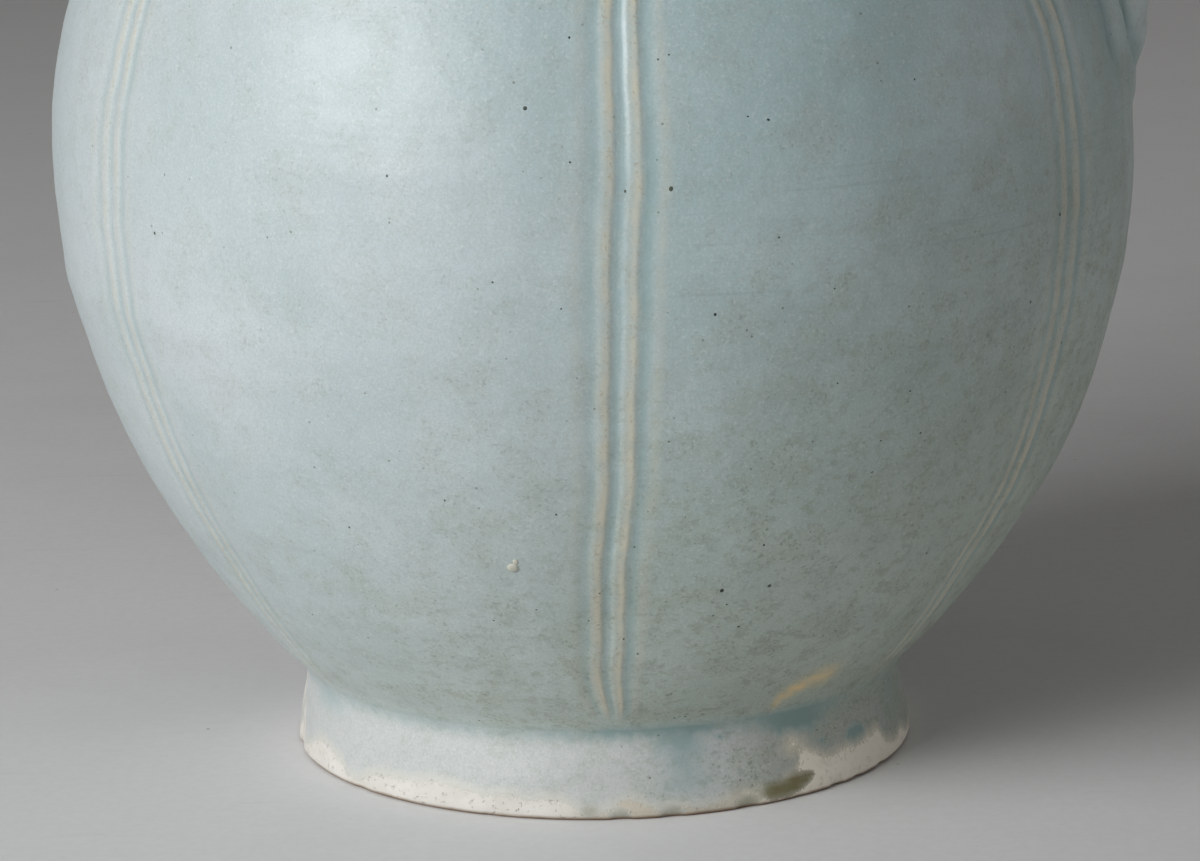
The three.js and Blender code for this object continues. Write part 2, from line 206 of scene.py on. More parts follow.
def rib_narrowing(z):
    heights = [12, 14, 17, 22, 38, 60, 85, 107, 120, 135, shoulder_height]
    shares = [0.42, 0.46, 0.62, 0.77, 0.87, 0.92, 1.0, 0.89, 0.8, 0.62, 0.5]
    return np.interp(z, heights, shares)


def rib_offsets(azimuth, z):
    """For points on the wall: mm from the nearest rib, 0 at a crest to 1 at a rib, which rib."""
    crest = crest_radius(z)
    lines = np.array([rib_azimuth(i, z) + np.zeros_like(azimuth) for i in range(lobes)])
    off = wrapped(azimuth - lines)
    nearest = np.argmin(np.abs(off), axis=0)
    columns = np.arange(azimuth.size)
    here = lines[nearest, columns]
    near = off[nearest, columns]
    step = np.where(near < 0, -1, 1)
    other = lines[(nearest + step) % lobes, columns]
    from_crest = 1 - 2 * np.abs(near) / np.abs(wrapped(other - here))
    across = np.radians(near) * crest / rib_narrowing(z)
    return across, from_crest, nearest


def slow_sway(nearest, z):
    return 0.13 * np.sin(z * 0.31 + nearest * 2.1)


def rib_sway(nearest, z):
    """How far the hand-drawn ribs swing to a side, in mm."""
    return slow_sway(nearest, z) + 0.08 * np.sin(z * 0.83 + nearest)


def rib_relief(across, nearest, z):
    """Height of the double rib above the lobed wall."""
    swell = 1 + 0.1 * np.sin(z * 0.47 + nearest * 1.7) + 0.06 * np.sin(z * 1.3 + nearest * 0.6)
    u = across + rib_sway(nearest, z)
    side = np.abs(u)
    steep = ridge_height * (1 + 0.7 * smooth(82, 104, z)) * band(u, 0.82, 2.72, 0.42)
    soft = ridge_height * window(u, -3.0, -1.7, -1.2, -0.45)
    grooves = groove_depth * bell(side, 3.65, 0.75)
    banks = 0.03 * bell(side, 5.7, 1.0)
    return ((steep + soft) * swell - grooves + banks) * rib_strength(z)


def hand_wobble(azimuth, z):
    """The wall isn't quite true: soft hollows and swellings, each on one side."""
    towards = np.cos(np.radians(azimuth))
    right = np.clip(towards, 0, None) ** 1.5
    left = np.clip(-towards, 0, None) ** 1.5
    out = right * (-0.75 * bell(z, 90, 13) + 0.55 * bell(z, 43, 11))
    out = out + left * (0.3 * bell(z, 66, 6) - 0.25 * bell(z, 32, 10) + 0.4 * bell(z, 14, 3))
    rings = 0.045 * np.sin(z * 1.15 + 0.6 * np.sin(np.radians(azimuth * 2)))
    rings = rings + 0.035 * np.sin(z * 0.49 + 1.2)
    front = np.clip(-np.sin(np.radians(azimuth)), 0, None)
    return out + rings * (0.4 + 0.6 * front) - 0.05 + 0.12 * bell(z, 66.5, 2.2)


def luting_reach(azimuth, z):
    """0 at the middle of the clay smeared round the handle's root, 1 at its edge."""
    across = np.radians(wrapped(azimuth)) * belly_radius / (luting_width / 2)
    down = np.clip(luting_middle - z, 0, None) / (luting_middle - luting_low)
    return np.sqrt(across**2 + down**2)


def beside_tongue(azimuth, z):
    """Distance on the wall from the tongue that ends the handle, in mm."""
    across = np.abs(np.radians(wrapped(azimuth)) * belly_radius)
    end = np.clip((z - handle_root_height) / tongue_length, 0, 1)
    half = tongue_width / 2 * quarter(end)
    below = np.clip(handle_root_height - z, 0, None)
    return np.hypot(np.clip(across - half, 0, None), below)


def luting(azimuth, z):
    reach = luting_reach(azimuth, z)
    fillet = (0.38 + 0.32 * smooth(88, 93, z)) * bell(beside_tongue(azimuth, z), 0, 1.7)
    fillet = fillet * (1 - smooth(tongue_top, 109, z))
    mound = luting_rise * np.clip(1 - reach**2, 0, 1) ** 1.15
    scored = 0.32 * bell(reach, 1.0, 0.035) * smooth(90, 95, z)
    return (mound - scored) * (1 - smooth(110, 124, z)) + fillet


def joined_to_foot(wall, z):
    """The wall runs into the foot's outer side in a soft hollow."""
    side = base_radius + foot_slope * (foot_height - z)
    soft = 3.2
    share = np.clip(0.5 + 0.5 * (wall - side) / soft, 0, 1)
    return side + (wall - side) * share + soft * share * (1 - share)


def wall_radius(azimuth, z):
    across, from_crest, nearest = rib_offsets(azimuth, z)
    fade = window(z, foot_height, foot_height + 20, shoulder_height - 16, shoulder_height)
    lobe = -lobe_depth * fade * from_crest**2
    wobble = hand_wobble(azimuth, z) * window(z, 12, 15, 130, 144)
    wall = crest_radius(z) + lobe + rib_relief(across, nearest, z) + wobble
    return joined_to_foot(wall + luting(azimuth, z), z)


# Foot: chips along the standing edge as (front azimuth, width, height, depth)
chips = [
    (-80.3, 5.0, 5.0, 0.3),
    (-50.5, 2.5, 1.4, 0.15),
    (-21.0, 2.0, 1.0, 0.12),
    (2.8, 2.8, 1.1, 0.3),
    (11.9, 3.0, 1.1, 0.28),
    (26.3, 3.2, 1.1, 0.3),
    (37.5, 2.0, 0.7, 0.15),
    (47.0, 2.6, 1.2, 0.35),
    (53.0, 2.0, 0.9, 0.25),
    (62.0, 2.2, 1.0, 0.25),
    (112.0, 4.0, 2.4, 0.4),
    (171.0, 3.0, 1.6, 0.3),
    (-128.0, 3.4, 1.8, 0.3),
]


def foot_outer(azimuth, z):
    z = np.asarray(z, float)
    low = foot_radius + foot_flare * quarter(z) - 0.05
    radius = np.where(z < 1, low, joined_to_foot(crest_radius(z), z))
    front = azimuth + 90
    waves = 0.07 * np.sin(np.radians(front * 9 + 20)) * np.sin(z * 0.9)
    radius = radius + waves * (1 - smooth(7, 10.5, z))
    for place, width, height, depth in chips:
        across = np.radians(wrapped(front - place)) * foot_radius
        notch = 1 - smooth(width * 0.25, width * 0.6, np.abs(across))
        radius = radius - depth * notch * (1 - smooth(height * 0.5, height, z))
    return radius


# Bare clay along the standing edge: (front azimuth, height of the glaze's edge)
glaze_edge = [
    (-180, 1.2), (-150, 1.9), (-128, 2.6), (-110, 1.1), (-92, 1.3), (-84, 2.4), (-80, 6.6),
    (-77, 1.6), (-71, 2.4), (-66.3, 4.0), (-62.3, 3.6), (-56.6, 2.6), (-55.2, 1.2), (-50.6, 1.2),
    (-48.1, 2.4), (-44.2, 2.9), (-37.2, 3.0), (-32.7, 3.6), (-28.8, 3.4), (-21.9, 2.7),
    (-16.9, 2.9), (-14.4, 2.4), (-10.6, 2.7), (-7.1, 2.5), (-5.2, 1.6), (-4.0, 0.9), (-0.4, 1.1),
    (2.1, 2.2), (4.1, 2.8), (6.4, 2.3), (7.8, 1.5), (9.8, 1.2), (12.4, 1.6), (14.7, 1.3),
    (17.1, 0.9), (19.5, 1.0), (22.0, 1.4), (24.5, 1.9), (27.0, 1.9), (29.1, 1.6), (31.4, 1.2),
    (34.5, 2.6), (37.2, 3.2), (38.1, 5.8), (39.0, 6.3), (40.3, 5.6), (44.8, 4.0), (46.5, 4.0),
    (50.5, 4.5), (55.1, 4.3), (57.8, 4.7), (61.6, 5.0), (64.8, 2.7), (69.3, 1.8), (74.0, 2.6),
    (78.5, 1.2), (96, 1.6), (112, 3.6), (124, 1.4), (150, 1.0), (171, 2.4), (180, 1.2),
]
# Patches on the foot: (front azimuth, height, half width, half height)
cream_patch = (36.9, 7.1, 2.3, 1.7)
side_chip = (-86.5, 7.2, 2.4, 2.6)
filled_chips = [
    (-2.9, 1.3, 1.2, 0.7), (2.8, 0.6, 1.3, 0.9), (11.9, 0.7, 1.5, 1.0), (26.3, 0.8, 1.7, 0.9),
]
green_spots = [(53.9, 5.7, 2.3, 1.5), (43.9, 6.7, 0.5, 0.5), (21.5, 9.7, 0.55, 0.3)]
patch_radius = 42
# Runs of glaze down the foot: (amount, front azimuth, reach, height of its end, full from)
foot_runs = [(0.85, 14.8, 4.2, 1.2, 4.5), (0.75, -64, 6.5, 7.0, 10), (0.45, 71, 5, 3.5, 8.5)]


def patch(front, z, place, height, half_width, half_height):
    """Distance inside an oval patch on the foot, in mm, negative outside it."""
    across = np.radians(wrapped(front - place)) * patch_radius / half_width
    up = (z - height) / half_height
    return (1 - np.sqrt(across**2 + up**2)) * min(half_width, half_height)


def olive_pocket(front, z):
    """Distance inside the olive glaze that has run in under the bare patch, in mm."""
    middle = np.interp(front, [27, 34, 38, 41], [1.6, 1.75, 2.3, 2.75])
    places = [25, 27.5, 31, 36.5, 39.5, 40.8, 42]
    half = np.interp(front, places, [-1.5, 0, 0.85, 1.05, 0.6, 0, -1.5])
    return half - np.abs(z - middle)


def foot_bare(front, z):
    """Distance inside the bare clay, in mm, negative under the glaze."""
    places, heights = zip(*glaze_edge)
    inside = np.interp(front, places, heights) - z
    inside = np.maximum(inside, patch(front, z, *cream_patch) * 0.7 - 1.1)
    inside = np.maximum(inside, patch(front, z, *side_chip))
    inside = np.minimum(inside, -olive_pocket(front, z))
    for spot in filled_chips + green_spots:
        inside = np.minimum(inside, -patch(front, z, *spot))
    return inside


def foot_olive(front, z):
    """Olive glaze gathered above the standing edge, and thinner in the filled chips."""
    gathered = smooth(-1.0, 0.4, olive_pocket(front, z)) * smooth(26.5, 31.5, front)
    filled = [smooth(-0.5, 0.4, patch(front, z, *spot)) for spot in filled_chips]
    return np.maximum(gathered, 0.5 * np.max(filled, axis=0))


def glaze_pool(azimuth, z):
    """How deep the glaze has run together: in grooves, in the crease above the foot, in runs; round
    the handle's root partly painted shade.
    """
    front = wrapped(azimuth + 90)
    across, _, nearest = rib_offsets(azimuth, z)
    u = across + slow_sway(nearest, z)
    middle = (0.48 + 0.16 * bell(z, 50, 16)) * band(u, -0.6, 0.55, 0.35)
    grooves = 0.66 * band(u, 3.0, 4.4, 0.4) + 0.45 * band(u, -3.8, -2.8, 0.4) + middle
    grooves = grooves * rib_strength(z) * np.where(nearest == 0, 0.6, 1.0)
    tall = 1.5 + 1.9 * window(front, 26, 38, 40, 52)
    tall = tall + 0.35 * np.sin(front * 1.7) + 0.2 * np.sin(front * 4.1)
    strength = 0.3 + 0.85 * window(front, -20, 10, 17, 22) + 0.98 * window(front, 20, 36, 39, 54)
    strength = strength + 0.25 * bell(front, 22, 5) + 0.2 * bell(front, -45, 30)
    crease = window(z, 10.7 - tall, 13.1 - tall, 12.0, 12.9) * np.clip(strength, 0, 1.4)
    runs = [window(front, 7, 10.5, 15, 19) * smooth(5.5, 10.2, z)]
    for amount, place, reach, end, full in foot_runs:
        runs.append(amount * bell(front, place, reach) * smooth(end, full, z))
    run = np.max(runs, axis=0) * (1 - smooth(11.4, 12.6, z))
    green = [1.4 * smooth(-0.3, 0.3, patch(front, z, *spot)) for spot in green_spots]
    # pooled glaze along the scored line round the handle's root and beside its tongue, widened with
    # painted shade of those grooves
    scored = 1.2 * bell(luting_reach(azimuth, z), 1.0, 0.07) * window(z, 90, 96, 110, 124)
    beside = 0.3 * bell(beside_tongue(azimuth, z), 1.1, 1.6) * (1 - smooth(104, 112, z))
    return np.max([grooves, crease, run, scored, beside, *green], axis=0)


def glaze_thin(azimuth, z):
    """Where the glaze has drawn off and the clay shows cream: the ridges' crests."""
    across, _, nearest = rib_offsets(azimuth, z)
    u = across + rib_sway(nearest, z)
    broad = np.where(nearest == 2, 0.8, 0.4)
    left = broad * band(u, -2.55, -0.9, 0.4) + (1 - broad) * band(u, -1.85, -0.85, 0.4)
    right = broad * band(u, 1.0, 2.6, 0.4) + (1 - broad) * band(u, 1.7, 2.65, 0.35)
    shown = 0.66 + 0.33 * smooth(88, 104, z) + 0.33 * (1 - smooth(40, 70, z))
    beside = 0.3 * bell(u, 5.5, 0.75) + 0.2 * bell(u, -5.2, 0.8)
    return ((left + right) * shown + beside) * rib_strength(z) * np.where(nearest == 0, 0.5, 1.0)


def glaze_stain(azimuth, z):
    """Orange-brown stain beside the right rib's foot."""
    front = wrapped(azimuth + 90)
    places = [30.0, 31.5, 33, 35.4, 37.2, 41]
    line = np.interp(front, places, [13.6, 14.8, 15.8, 16.9, 17.4, 17.3])
    along = window(front, 29.8, 31.6, 39, 42) * (1 - 0.15 * smooth(35, 37, front))
    return along * bell(z, line, 1.4)


# Turned forms

def extrude_profile(points):
    bpy.ops.object.select_all(action="DESELECT")
    bpy.ops.mesh.primitive_plane_add(size=1)
    bpy.ops.object.mode_set(mode="EDIT")
    bpy.ops.mesh.select_all(action="SELECT")
    bpy.ops.mesh.merge(type="CENTER")
    x, z = points[0]
    bpy.ops.transform.translate(value=(x, 0, z))
    for nx, nz in points[1:]:
        step = {"value": (nx - x, 0, nz - z)}
        bpy.ops.mesh.extrude_region_move(TRANSFORM_OT_translate=step)
        x, z = nx, nz
    return bpy.context.object


def turned(name, profile, steps, closed=False):
    """A profile of (radius, height), spun about the upright axis."""
    points = [(r / 1000, z / 1000) for r, z in profile]
    if closed:
        points.append(points[0])
    made = extrude_profile(points)
    bpy.ops.mesh.select_all(action="SELECT")
    round_axis = {"angle": 2 * math.pi, "center": (0, 0, 0), "axis": (0, 0, 1)}
    bpy.ops.mesh.spin(steps=steps, use_auto_merge=True, **round_axis)
    bpy.ops.mesh.select_all(action="SELECT")
    bpy.ops.mesh.remove_doubles(threshold=2e-6)
    bpy.ops.mesh.normals_make_consistent(inside=False)
    bpy.ops.object.mode_set(mode="OBJECT")
    made.name = name
    made.data.name = name
    return made


def coordinates(made):
    flat = np.empty(len(made.data.vertices) * 3, dtype=np.float32)
    made.data.vertices.foreach_get("co", flat)
    return flat.reshape(-1, 3).astype(float) * 1000


def places_on(made, profile, steps, batch=20000):
    """For each vertex of a turned form: its row in the profile and its step around the axis."""
    points = coordinates(made)
    turn, radius = polar(points)
    shape = np.array(profile, float)
    row = np.empty(len(points), int)
    for start in range(0, len(points), batch):
        part = slice(start, start + batch)
        far = np.abs(radius[part, None] - shape[None, :, 0])
        far = far + np.abs(points[part, 2, None] - shape[None, :, 1])
        row[part] = np.argmin(far, axis=1)
    step = np.rint(turn % 360 / (360 / steps)).astype(int) % steps
    return row, step


def choose(made):
    bpy.ops.object.select_all(action="DESELECT")
    made.select_set(True)
    bpy.context.view_layer.objects.active = made


def move_points(made, points):
    made.data.vertices.foreach_set("co", (points / 1000).astype(np.float32).ravel())
    made.data.update()
    choose(made)
    bpy.ops.object.mode_set(mode="EDIT")
    bpy.ops.mesh.select_all(action="SELECT")
    bpy.ops.mesh.normals_make_consistent(inside=False)
    bpy.ops.object.mode_set(mode="OBJECT")


def soften(made, degrees=50):
    choose(made)
    bpy.ops.object.shade_smooth_by_angle(angle=math.radians(degrees))


def mark(made, **shares):
    """For each vertex: glaze pooled, drawn thin, stained or olive, and mm inside bare clay."""
    for name, share in {"stain": 0.0, "bare": -9.0, **shares}.items():
        layer = made.data.attributes.new(name, "FLOAT", "POINT")
        values = np.zeros(len(made.data.vertices)) + share
        layer.data.foreach_set("value", values.astype(np.float32))


# Azimuths of the turned steps: close together on the ribs, wider across the lobes
sector_steps = 72
ring_steps = lobes * sector_steps
fine = np.array([0.2 * k for k in range(15)] + [2.8 + 0.525 * k for k in range(1, 9)])
rib_half = len(fine) - 1


def even_azimuths(step):
    return ribs[0][0] + step * 360 / ring_steps


def step_azimuths(step, z):
    sector = step // sector_steps
    k = step % sector_steps
    here = np.zeros(len(step))
    following = np.zeros(len(step))
    for i in range(lobes):
        at = sector == i
        here[at] = rib_azimuth(i, z[at])
        following[at] = rib_azimuth((i + 1) % lobes, z[at]) + (360 if i == lobes - 1 else 0)
    narrow = np.degrees(rib_narrowing(z) / np.maximum(crest_radius(z), 20))
    low = fine[np.minimum(k, rib_half)] * narrow
    high = fine[np.minimum(sector_steps - k, rib_half)] * narrow
    edge = fine[-1] * narrow
    share = (k - rib_half) / (sector_steps - 2 * rib_half)
    across = here + edge + (following - here - 2 * edge) * share
    warped = np.where(k <= rib_half, here + low, across)
    warped = np.where(k >= sector_steps - rib_half, following - high, warped)
    even = even_azimuths(step)
    return even + (warped - even) * window(z, 8, 12.2, 144, 150)


# Body and neck, one wall from the base to the mouth and back down inside

def equal_steps(radius_at, low, high, count):
    """Heights between low and high, evenly spaced along the outline."""
    z = np.linspace(low, high, 4000)
    r = radius_at(z)
    length = np.concatenate([[0], np.cumsum(np.hypot(np.diff(z), np.diff(r)))])
    return np.interp(np.linspace(0, length[-1], count), length, z)


def neck_outer(z):
    z = np.asarray(z, float)
    up = (z - neck_waist_height) / (mouth_height - neck_waist_height)
    down = (neck_waist_height - z) / (neck_waist_height - shoulder_height)
    flare = (mouth_radius - neck_waist_radius) * np.clip(up, 0, None) ** 2
    foot = (neck_seat_radius - neck_waist_radius) * np.clip(down, 0, None) ** 2
    return neck_waist_radius + flare + foot


def outline(radius_at, heights):
    """Rows of a profile as (radius, height)."""
    return [(float(radius_at(z)), float(z)) for z in heights]


inner_foot = foot_radius - foot_width
wall_rows = 104
wall_heights = equal_steps(crest_radius, foot_height, shoulder_height, wall_rows)
profile = [(r, foot_recess) for r in (0, 12, 24, inner_foot - 1.2)]
profile += [(inner_foot - 0.3, foot_recess + 0.9), (inner_foot - 0.3, foot_height - 0.2)]
profile += [(37.5, foot_height - 0.1), (base_radius - 0.8, foot_height)]
first_wall_row = len(profile)
profile += outline(crest_radius, wall_heights)
last_wall_row = len(profile) - 1
profile += [(23.55, 147.9), (24.0, 148.5), (24.05, 149.3), (23.85, 150.1), (23.3, 150.8)]
profile += outline(lambda z: neck_outer(z) + 0.25, [151.6])
profile += outline(neck_outer, np.linspace(152.8, 176, 20))
profile += [(25.35, 176.7), (26.2, 177.3), (26.5, 178.1), (26.3, 178.7), (25.7, 179), (24.2, 179)]
profile += [(22.7, 178.9), (22.1, 178.3)]
profile += outline(lambda z: neck_outer(z) - neck_wall, np.linspace(177, shoulder_height, 12))
inside_heights = equal_steps(lambda z: crest_radius(z) - body_wall, 19, 142.4, 26)[::-1]
profile += outline(lambda z: max(crest_radius(z) - body_wall, 19.6), inside_heights)
floor_edge = profile[-1][0]
profile += [(floor_edge * 0.94, 16.6), (floor_edge * 0.8, 14.6), (floor_edge * 0.5, 13.4)]
profile += [(0, floor_height)]

body = turned("vessel_body", profile, ring_steps)
row, step = places_on(body, profile, ring_steps)
row_radius, height = np.array(profile)[row].T
on_wall = (row >= first_wall_row) & (row <= last_wall_row)
azimuth = np.where(on_wall, step_azimuths(step, height), even_azimuths(step))
radius = row_radius.copy()
radius[on_wall] = wall_radius(azimuth[on_wall], height[on_wall])
move_points(body, placed(radius, azimuth, height))
azimuth = wrapped(azimuth)
pool = np.where(on_wall, glaze_pool(azimuth, height), 0)
pool = np.maximum(pool, 0.8 * bell(height, 151.5, 0.9) * (row > last_wall_row))
pool = np.maximum(pool, 0.7 * bell(height, 147.5, 0.8) * (row_radius > 22))
thin = np.where(on_wall, glaze_thin(azimuth, height), 0)
thin = np.maximum(thin, 0.8 * bell(height, 178.7, 0.9) + 0.6 * bell(height, 149.0, 0.5))
mark(body, pool=pool, thin=thin, stain=np.where(on_wall, glaze_stain(azimuth, height), 0))

# Foot ring

foot_rows = np.concatenate([[0.0, 0.12, 0.35], np.linspace(0.8, foot_height, 18)])
plain_azimuth = 250.0
foot_profile = outline(lambda z: foot_outer(plain_azimuth, z), foot_rows)
first_inner = len(foot_profile)
foot_profile += [(39.0, foot_height + 0.1), (inner_foot - 0.1, foot_height + 0.1)]
foot_profile += [(inner_foot, 8), (inner_foot, 4), (inner_foot, 1.4), (inner_foot + 0.3, 0.5)]
foot_profile += [(inner_foot + 0.9, 0), (inner_foot + 2.6, 0), (inner_foot + 4.4, 0), (40.4, 0)]
foot = turned("foot_ring_wall", foot_profile, ring_steps, closed=True)
row, step = places_on(foot, foot_profile, ring_steps)
row_radius, height = np.array(foot_profile)[row].T
azimuth = wrapped(even_azimuths(step))
front = wrapped(azimuth + 90)
is_outer = row < first_inner
radius = np.where(is_outer, foot_outer(azimuth, height), row_radius)
standing = (height < 0.05) & ~is_outer & (row_radius > inner_foot + 4)
radius = np.where(standing, np.minimum(radius, foot_outer(azimuth, height * 0) - 0.8), radius)
move_points(foot, placed(radius, azimuth, height))
bare = np.where(is_outer, foot_bare(front, height), np.where(height < 3, 3.0, 0.8))
pool = np.where(is_outer, glaze_pool(azimuth, height), 0)
olive = np.where(is_outer, foot_olive(front, height), 0)
mark(foot, bare=bare, pool=pool, thin=0.0, olive=olive)


# Centre lines

def route(points, count):
    """Even steps along a smooth curve through the points: places, headings and length."""
    points = [np.array(p, float) for p in points]
    last = len(points) - 1
    dense = []
    for i in range(last):
        before = points[i - 1] if i > 0 else 2 * points[0] - points[1]
        after = points[i + 2] if i + 2 <= last else 2 * points[last] - points[last - 1]
        a, b = points[i], points[i + 1]
        d0 = np.linalg.norm(before - a) ** 0.5
        d1 = np.linalg.norm(a - b) ** 0.5
        d2 = np.linalg.norm(b - after) ** 0.5
        t1 = ((a - before) / d0 - (b - before) / (d0 + d1) + (b - a) / d1) * d1
        t2 = ((b - a) / d1 - (after - a) / (d1 + d2) + (after - b) / d2) * d1
        for w in np.linspace(0, 1, 60, endpoint=i == last - 1):
            c2 = -3 * a + 3 * b - 2 * t1 - t2
            c3 = 2 * a - 2 * b + t1 + t2
            dense.append(a + t1 * w + c2 * w**2 + c3 * w**3)
    dense = np.array(dense)
    length = np.concatenate([[0], np.cumsum(np.linalg.norm(np.diff(dense, axis=0), axis=1))])
    at = np.linspace(0, length[-1], count)
    place = np.stack([np.interp(at, length, dense[:, k]) for k in range(2)], axis=1)
    return place, unit(np.gradient(place, axis=0)), length[-1]


def along_route(places, headings, share):
    """Places and headings at a share of the way along."""
    at = share * (len(places) - 1)
    low = np.clip(at.astype(int), 0, len(places) - 2)
    w = (at - low)[:, None]
    return [line[low] * (1 - w) + line[low + 1] * w for line in (places, headings)]


def between(start, end, out, up):
    """A point at shares of the way from start to end, outwards and upwards."""
    return (start[0] + (end[0] - start[0]) * out, start[1] + (end[1] - start[1]) * up)


def side_turns(sides):
    return 2 * np.pi * np.arange(sides) / sides


# Spout

spout_root = (-float(crest_radius(spout_root_height)), spout_root_height)
spout_tip = (spout_tip_x, spout_tip_height)
spout_line = [
    (spout_root[0] + 14, spout_root[1] - 9),
    spout_root,
    between(spout_root, spout_tip, 0.55, 0.22),
    between(spout_root, spout_tip, 0.82, 0.48),
    between(spout_root, spout_tip, 0.9, 0.74),
    spout_tip,
]
spout_steps = 400
spout_place, spout_heading, spout_length = route(spout_line, spout_steps)


def spout_outer(z):
    along = np.clip((z - spout_root_height) / (spout_tip_height - spout_root_height), -0.2, 1.1)
    left = (1 - np.clip(along, 0, 1)) ** 1.7
    taper = spout_tip_radius + (spout_root_radius - spout_tip_radius) * left
    return taper + 0.4 * smooth(0.94, 1, along) + np.where(along < 0, -along * 8, 0)


def spout_point(share, turn, inset):
    """A point of the tube: share of the way along, turn about its middle, inset from its skin."""
    place, heading = along_route(spout_place, spout_heading, share)
    level = smooth(0.82, 1, share)[:, None]
    heading = unit(heading * (1 - level) + np.array([0, 1]) * level)
    radius = (spout_outer(place[:, 1]) + inset) * (1 + 0.05 * smooth(0.85, 1, share))
    out = radius * np.cos(turn)
    x = place[:, 0] - heading[:, 1] * out
    return np.stack([x, -radius * np.sin(turn), place[:, 1] + heading[:, 0] * out], axis=1)


def above_wall(points):
    azimuth, radius = polar(points)
    return radius - wall_radius(azimuth, points[:, 2])


spout_sides = 72
spout_rows = 70
bore_rows = 36
rim = [(-0.25, 0.0), (-0.8, 0.55), (-1.35, 0.7), (-1.9, 0.55), (-2.45, 0.0)]
spout_profile = [(2.0, float(i)) for i in range(spout_rows)]
rim_start = len(spout_profile)
spout_profile += [(2 - 0.15 * (k + 1), spout_rows + 0.5 + 0.01 * k) for k in range(len(rim))]
bore_start = len(spout_profile)
spout_profile += [(1.0, float(spout_rows - 1 - 2 * i)) for i in range(bore_rows - 1)]
spout_profile += [(1.0, -0.5)]
spout = turned("spout_tube", spout_profile, spout_sides, closed=True)
row, step = places_on(spout, spout_profile, spout_sides)
turn_at = side_turns(spout_sides)


def spout_start(inset, depth):
    """Share of the way along where each side of the tube meets the body's wall."""
    found = np.zeros(spout_sides)
    shares = np.linspace(0.0, 0.6, 400)
    for k, turn in enumerate(turn_at):
        along = spout_point(shares, np.full(len(shares), turn), np.full(len(shares), inset))
        under = np.nonzero(above_wall(along) < -depth)[0]
        found[k] = shares[under[-1]] if len(under) else 0
    return found


start_outer = spout_start(0.0, 0.7)
start_inner = spout_start(-spout_wall, 1.2)
is_outer = row < rim_start
is_bore = row >= bore_start
is_rim = ~is_outer & ~is_bore
outer_share = start_outer[step] + (1 - start_outer[step]) * (row / (spout_rows - 1)) ** 1.15
bore_share = 1 - np.clip((row - bore_start) / (bore_rows - 1), 0, 1)
bore_share = start_inner[step] + (1 - start_inner[step]) * bore_share
share = np.where(is_outer, outer_share, np.where(is_bore, bore_share, 1))
rise = np.clip((share - start_outer[step]) * spout_length, 0, None)
rim_in, rim_up = np.array(rim)[np.clip(row - rim_start, 0, len(rim) - 1)].T
inset = np.where(is_bore, -spout_wall, rim_in)
inset = np.where(is_outer, 1.5 * np.exp(-rise / 2.2), inset)
points = spout_point(share, turn_at[step], inset)
points[:, 2] += np.where(is_rim, rim_up, 0) - 0.7 * smooth(0.97, 1, share)
move_points(spout, points)
pool = np.where(is_outer, np.clip(1.1 * bell(above_wall(points), 0.2, 1.0), 0, 1), 0)
thin = np.where(is_rim, 0.9, 0) + np.where(is_outer, 0.5 * bell(share, 1, 0.012), 0)
mark(spout, pool=pool, thin=thin)

# Strap handle

half_strap = strap_thickness / 2
handle_start_x = float(crest_radius(handle_root_height + 8)) + half_strap - strap_seat
handle_top_x = neck_waist_radius + (handle_out_x - neck_waist_radius) * 0.55
handle_start = (handle_start_x, handle_root_height)
handle_top = (handle_top_x, handle_top_height - half_strap)
handle_out = (handle_out_x, handle_top[1])
brim_pass = (brim_radius + 4, mouth_height - 6)
neck_waist = (neck_waist_radius, neck_waist_height)
rising = [(0.04, 0.16), (0.47, 0.33), (0.86, 0.51), (1, 0.68), (0.76, 0.85), (0.05, 0.97)]
handle_line = [(handle_start_x - 0.1, handle_root_height), (handle_start_x, handle_root_height + 8)]
handle_line += [between(handle_start, handle_out, out, up) for out, up in rising]
handle_line += [handle_top, between(brim_pass, handle_top, 0.46, 0.63), brim_pass]
handle_line += [between(neck_waist, brim_pass, out, up) for out, up in [(0.13, 0.1), (-1, -0.33)]]
handle_place, handle_heading, handle_length = route(handle_line, 1200)
pad_length = tongue_top - handle_root_height


def strap_point(share, turn):
    """A point of the strap: share of the way along, turn about its centre line from one edge."""
    place, heading = along_route(handle_place, handle_heading, share)
    heading = unit(heading)
    along = share * handle_length
    left = handle_length - along
    end = np.clip(along / tongue_length, 0, 1)
    round_end = quarter(end) * 0.95 + 0.05
    thick_end = 0.22 * smooth(-0.6, 2.0, along) + 0.78 * smooth(1.5, 9.5, along)
    on_pad = 1 - smooth(pad_length, pad_length + 16, along)
    near_neck = smooth(0.6, 1, share)
    plain = strap_width + (strap_neck_width - strap_width) * near_neck
    plain = plain + 0.25 * np.sin(along * 0.21) + 4 * (1 - smooth(8, 26, left))
    width = (plain + (tongue_width - plain) * on_pad) * round_end
    out_thick = half_strap * thick_end
    in_thick = half_strap + 0.8 * on_pad
    groove = strap_groove * smooth(14, 28, along) * smooth(12, 24, left)
    across = np.cos(turn)
    side = np.abs(across)
    top = np.sin(turn) >= 0
    crown = (1 - side ** (5 - 1.6 * on_pad)) ** 0.5
    belly = (1 - side**7) ** 0.45
    lines = bell(side, 0.37, 0.06) + 0.25 * bell(side, 0.93, 0.08)
    height = np.where(top, crown * out_thick - groove * lines, -belly * in_thick)
    skirt = np.where(top, 0, np.clip(-height / 2.5, 0, 1)) * on_pad * 0.05
    wrap = -((across * width / 2) ** 2) / (2 * 45) * on_pad
    height = height + wrap
    x = place[:, 0] + heading[:, 1] * height
    y = -across * width / 2 * (1 + skirt)
    return np.stack([x, y, place[:, 1] - heading[:, 0] * height], axis=1)


